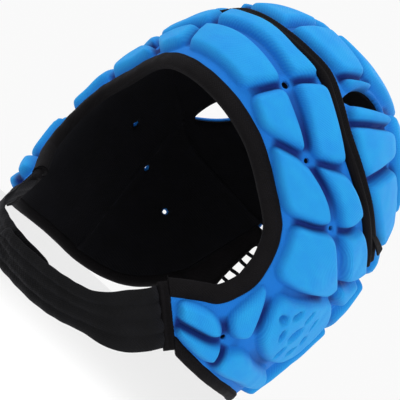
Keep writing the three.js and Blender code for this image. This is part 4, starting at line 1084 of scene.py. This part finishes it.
def root_band(name, flip):
    a, x, y = rounded(48, 0.6, 0.7)
    forward = ROOT_BAND_SHIFT + ROOT_BAND_REACH * x
    ridge = 0.7 + 0.6 * np.abs(np.sin(math.pi * x))
    height = y * (ROOT_BAND_THICKNESS / 2 + 0.5) * ridge
    points, cloth = [], []
    for t in np.linspace(-0.5, 0.5, 90):
        end = math.sqrt(max(1 - (abs(t) * 2) ** 14, 0.03))
        along = t * ROOT_BAND_HEIGHT
        wave = 0.1 * math.sin(along * 2 * math.pi / STRAP_STITCH)
        middle = seam_middle + seam_across * along
        points.append(middle + np.outer(forward, seam_forward) + np.outer(height * end + wave, seam_out))
        cloth.append(np.stack([0 * a + along, forward * 2, 0 * a], -1))
    add_mesh(name, np.vstack(points) * [flip, 1, 1], tube_faces(len(points), len(a)), binding_cloth,
             "black_binding", [name], cloth=np.vstack(cloth))


root_band("strap_root_left", 1)
root_band("strap_root_right", -1)
print("roots", ROOT_BAND_HEIGHT, "mm long")

# %% [markdown]
# The lace turns six times over the neck bindings and crosses the back opening between the turns. Its slack
# hangs below in one loop. Both are round cords laid over a list of points, and a twist along each keeps them
# from looking like wire.

# %% The lace
LACE_DIAMETER = 2.6
LACE_LIFT = BINDING_OUT + CLEARANCE + LACE_DIAMETER / 2
LACE_OFFSET = -3.75
LACE_TWIST, LACE_STRANDS, STRAND_GROOVE = 7.0, 3, 0.16
LOWEST_TURN, HIGHEST_TURN, TURNS, TURN_HEIGHT = -15, 9, 6, 2.2
LACE_LOOP = [
    (0.0222, 0.0973, -0.1533), (0.0202, 0.0979, -0.1601), (0.0178, 0.0984, -0.1663),
    (0.0149, 0.0990, -0.1724), (0.0118, 0.0994, -0.1775), (0.0087, 0.0998, -0.1816),
    (0.0058, 0.1001, -0.1846), (0.0029, 0.1002, -0.1867), (0.0000, 0.1003, -0.1873),
    (-0.0029, 0.1002, -0.1867), (-0.0058, 0.1001, -0.1846), (-0.0087, 0.0998, -0.1816),
    (-0.0118, 0.0994, -0.1775), (-0.0149, 0.0990, -0.1724), (-0.0178, 0.0984, -0.1663),
    (-0.0202, 0.0979, -0.1601), (-0.0222, 0.0973, -0.1533),
]


def blend(first, last, low, high, want):
    return first * (high - want) / (high - low) + last * (want - low) / (high - low)


def through(points, count):
    """A smooth line through given points, with knots by the root of their distances."""
    points = np.asarray(points, float)
    ends = np.vstack([2 * points[0] - points[1], points, 2 * points[-1] - points[-2]])
    knots = np.concatenate([[0], np.cumsum(np.linalg.norm(np.diff(ends, axis=0), axis=1) ** 0.5)])
    out = []
    for want in np.linspace(knots[1], knots[-2], count):
        i = int(np.clip(np.searchsorted(knots, want, "right") - 1, 1, len(points) - 1))
        k, p = knots[i - 1 : i + 3], ends[i - 1 : i + 3]
        a = [blend(p[j], p[j + 1], k[j], k[j + 1], want) for j in range(3)]
        b = [blend(a[j], a[j + 1], k[j], k[j + 2], want) for j in range(2)]
        out.append(blend(b[0], b[1], k[1], k[2], want))
    return np.array(out)


def lace_point(side, lat):
    rows = np.array([row for row in NECK_EDGE if row[0] > 160], float)
    lon = np.interp(lat, rows[:, 1], rows[:, 0])
    p, ahead = form(lon, lat), form(np.interp(lat + 0.3, rows[:, 1], rows[:, 0]), lat + 0.3)
    beside = lon_lat(p + unit(np.cross(outward(lon, lat), ahead - p)) * LACE_OFFSET)
    return on_head(side * beside[0], beside[1], LACE_LIFT)


def corded(name, line):
    """A round cord of twisted strands along a line, and its length."""
    along, run = unit(np.gradient(line, axis=0)), run_along(line)
    radius = LACE_DIAMETER / 2
    side = np.cross(along[0], [0.3, 0.2, 1])
    a, x, y = rounded(24, 1, 1)
    points, cloth = [], []
    for p, t, at in zip(line, along, run):
        side = unit(side - t * (side @ t))
        strand = LACE_STRANDS * a + at * 2 * math.pi / LACE_TWIST
        r = radius * (1 - STRAND_GROOVE * np.abs(np.sin(strand / 2)) ** 6)
        points.append(p + np.outer(x * r, side) + np.outer(y * r, np.cross(t, side)))
        cloth.append(np.stack([0 * a + at, a * radius, 0 * a], -1))
    piece = add_mesh(name, np.vstack(points), tube_faces(len(points), len(a)), lace_cloth, "black_lace",
                     [name], cloth=np.vstack(cloth))
    return piece, run[-1]


turns = []
for i, lat in enumerate(np.linspace(LOWEST_TURN, HIGHEST_TURN, TURNS)):
    side = 1 - 2 * (i % 2)
    turns += [lace_point(side, lat), lace_point(side, lat + TURN_HEIGHT)]
_, lace_run = corded("rear_lace", through(turns, 420))
loop_line = through(np.array(LACE_LOOP) / MM + [0, 0, ORIGIN_UP], 300)
lace_loop, loop_run = corded("lace_loop", loop_line)
print("laced length", round(lace_run, 1), "mm, loop length", round(loop_run, 1), "mm")

# %% [markdown]
# The floor is plain and pale, and well below the strap. Big soft lamps stand at the front, at the side and
# behind, as in a product studio, and a bright even sky fills the rest.

# %% Floor and light
def lamp(name, at, aim, size, watts, tone=(1, 1, 1)):
    data = bpy.data.lights.new(name, "AREA")
    data.shape, data.size, data.energy, data.color = "DISK", size, watts, tone
    light = bpy.data.objects.new(name, data)
    light.location = at
    light.rotation_euler = (Vector(aim) - Vector(at)).to_track_quat("-Z", "Y").to_euler()
    bpy.context.scene.collection.objects.link(light)


FLOOR_REACH, FLOOR_LEVEL = 9, -0.36
floor_corners = [(x * FLOOR_REACH, y * FLOOR_REACH, FLOOR_LEVEL)
                 for x, y in ((-1, -1), (1, -1), (1, 1), (-1, 1))]
floor_mesh = bpy.data.meshes.new("floor")
floor_mesh.from_pydata(floor_corners, [], [(0, 1, 2, 3)])
floor = bpy.data.objects.new("floor", floor_mesh)
bpy.context.scene.collection.objects.link(floor)
pale = Shader("pale_floor", roughness=0.9, sheen=0.0)
pale.surface.inputs["Base Color"].default_value = (0.86, 0.86, 0.86, 1)
floor.data.materials.append(pale.material)
world = bpy.data.worlds.new("studio")
world.use_nodes = True
world.node_tree.nodes["Background"].inputs["Color"].default_value = (1, 1, 1, 1)
world.node_tree.nodes["Background"].inputs["Strength"].default_value = 0.95
bpy.context.scene.world = world
bpy.context.scene.view_settings.view_transform = "Standard"
lamp("key", (-0.55, -0.75, 0.95), (0, 0, -0.08), 0.7, 12)
lamp("side", (1.1, -0.35, 0.35), (0, 0, -0.1), 0.8, 7)
lamp("back", (0.2, 1.2, 0.7), (0, 0, -0.05), 0.9, 8)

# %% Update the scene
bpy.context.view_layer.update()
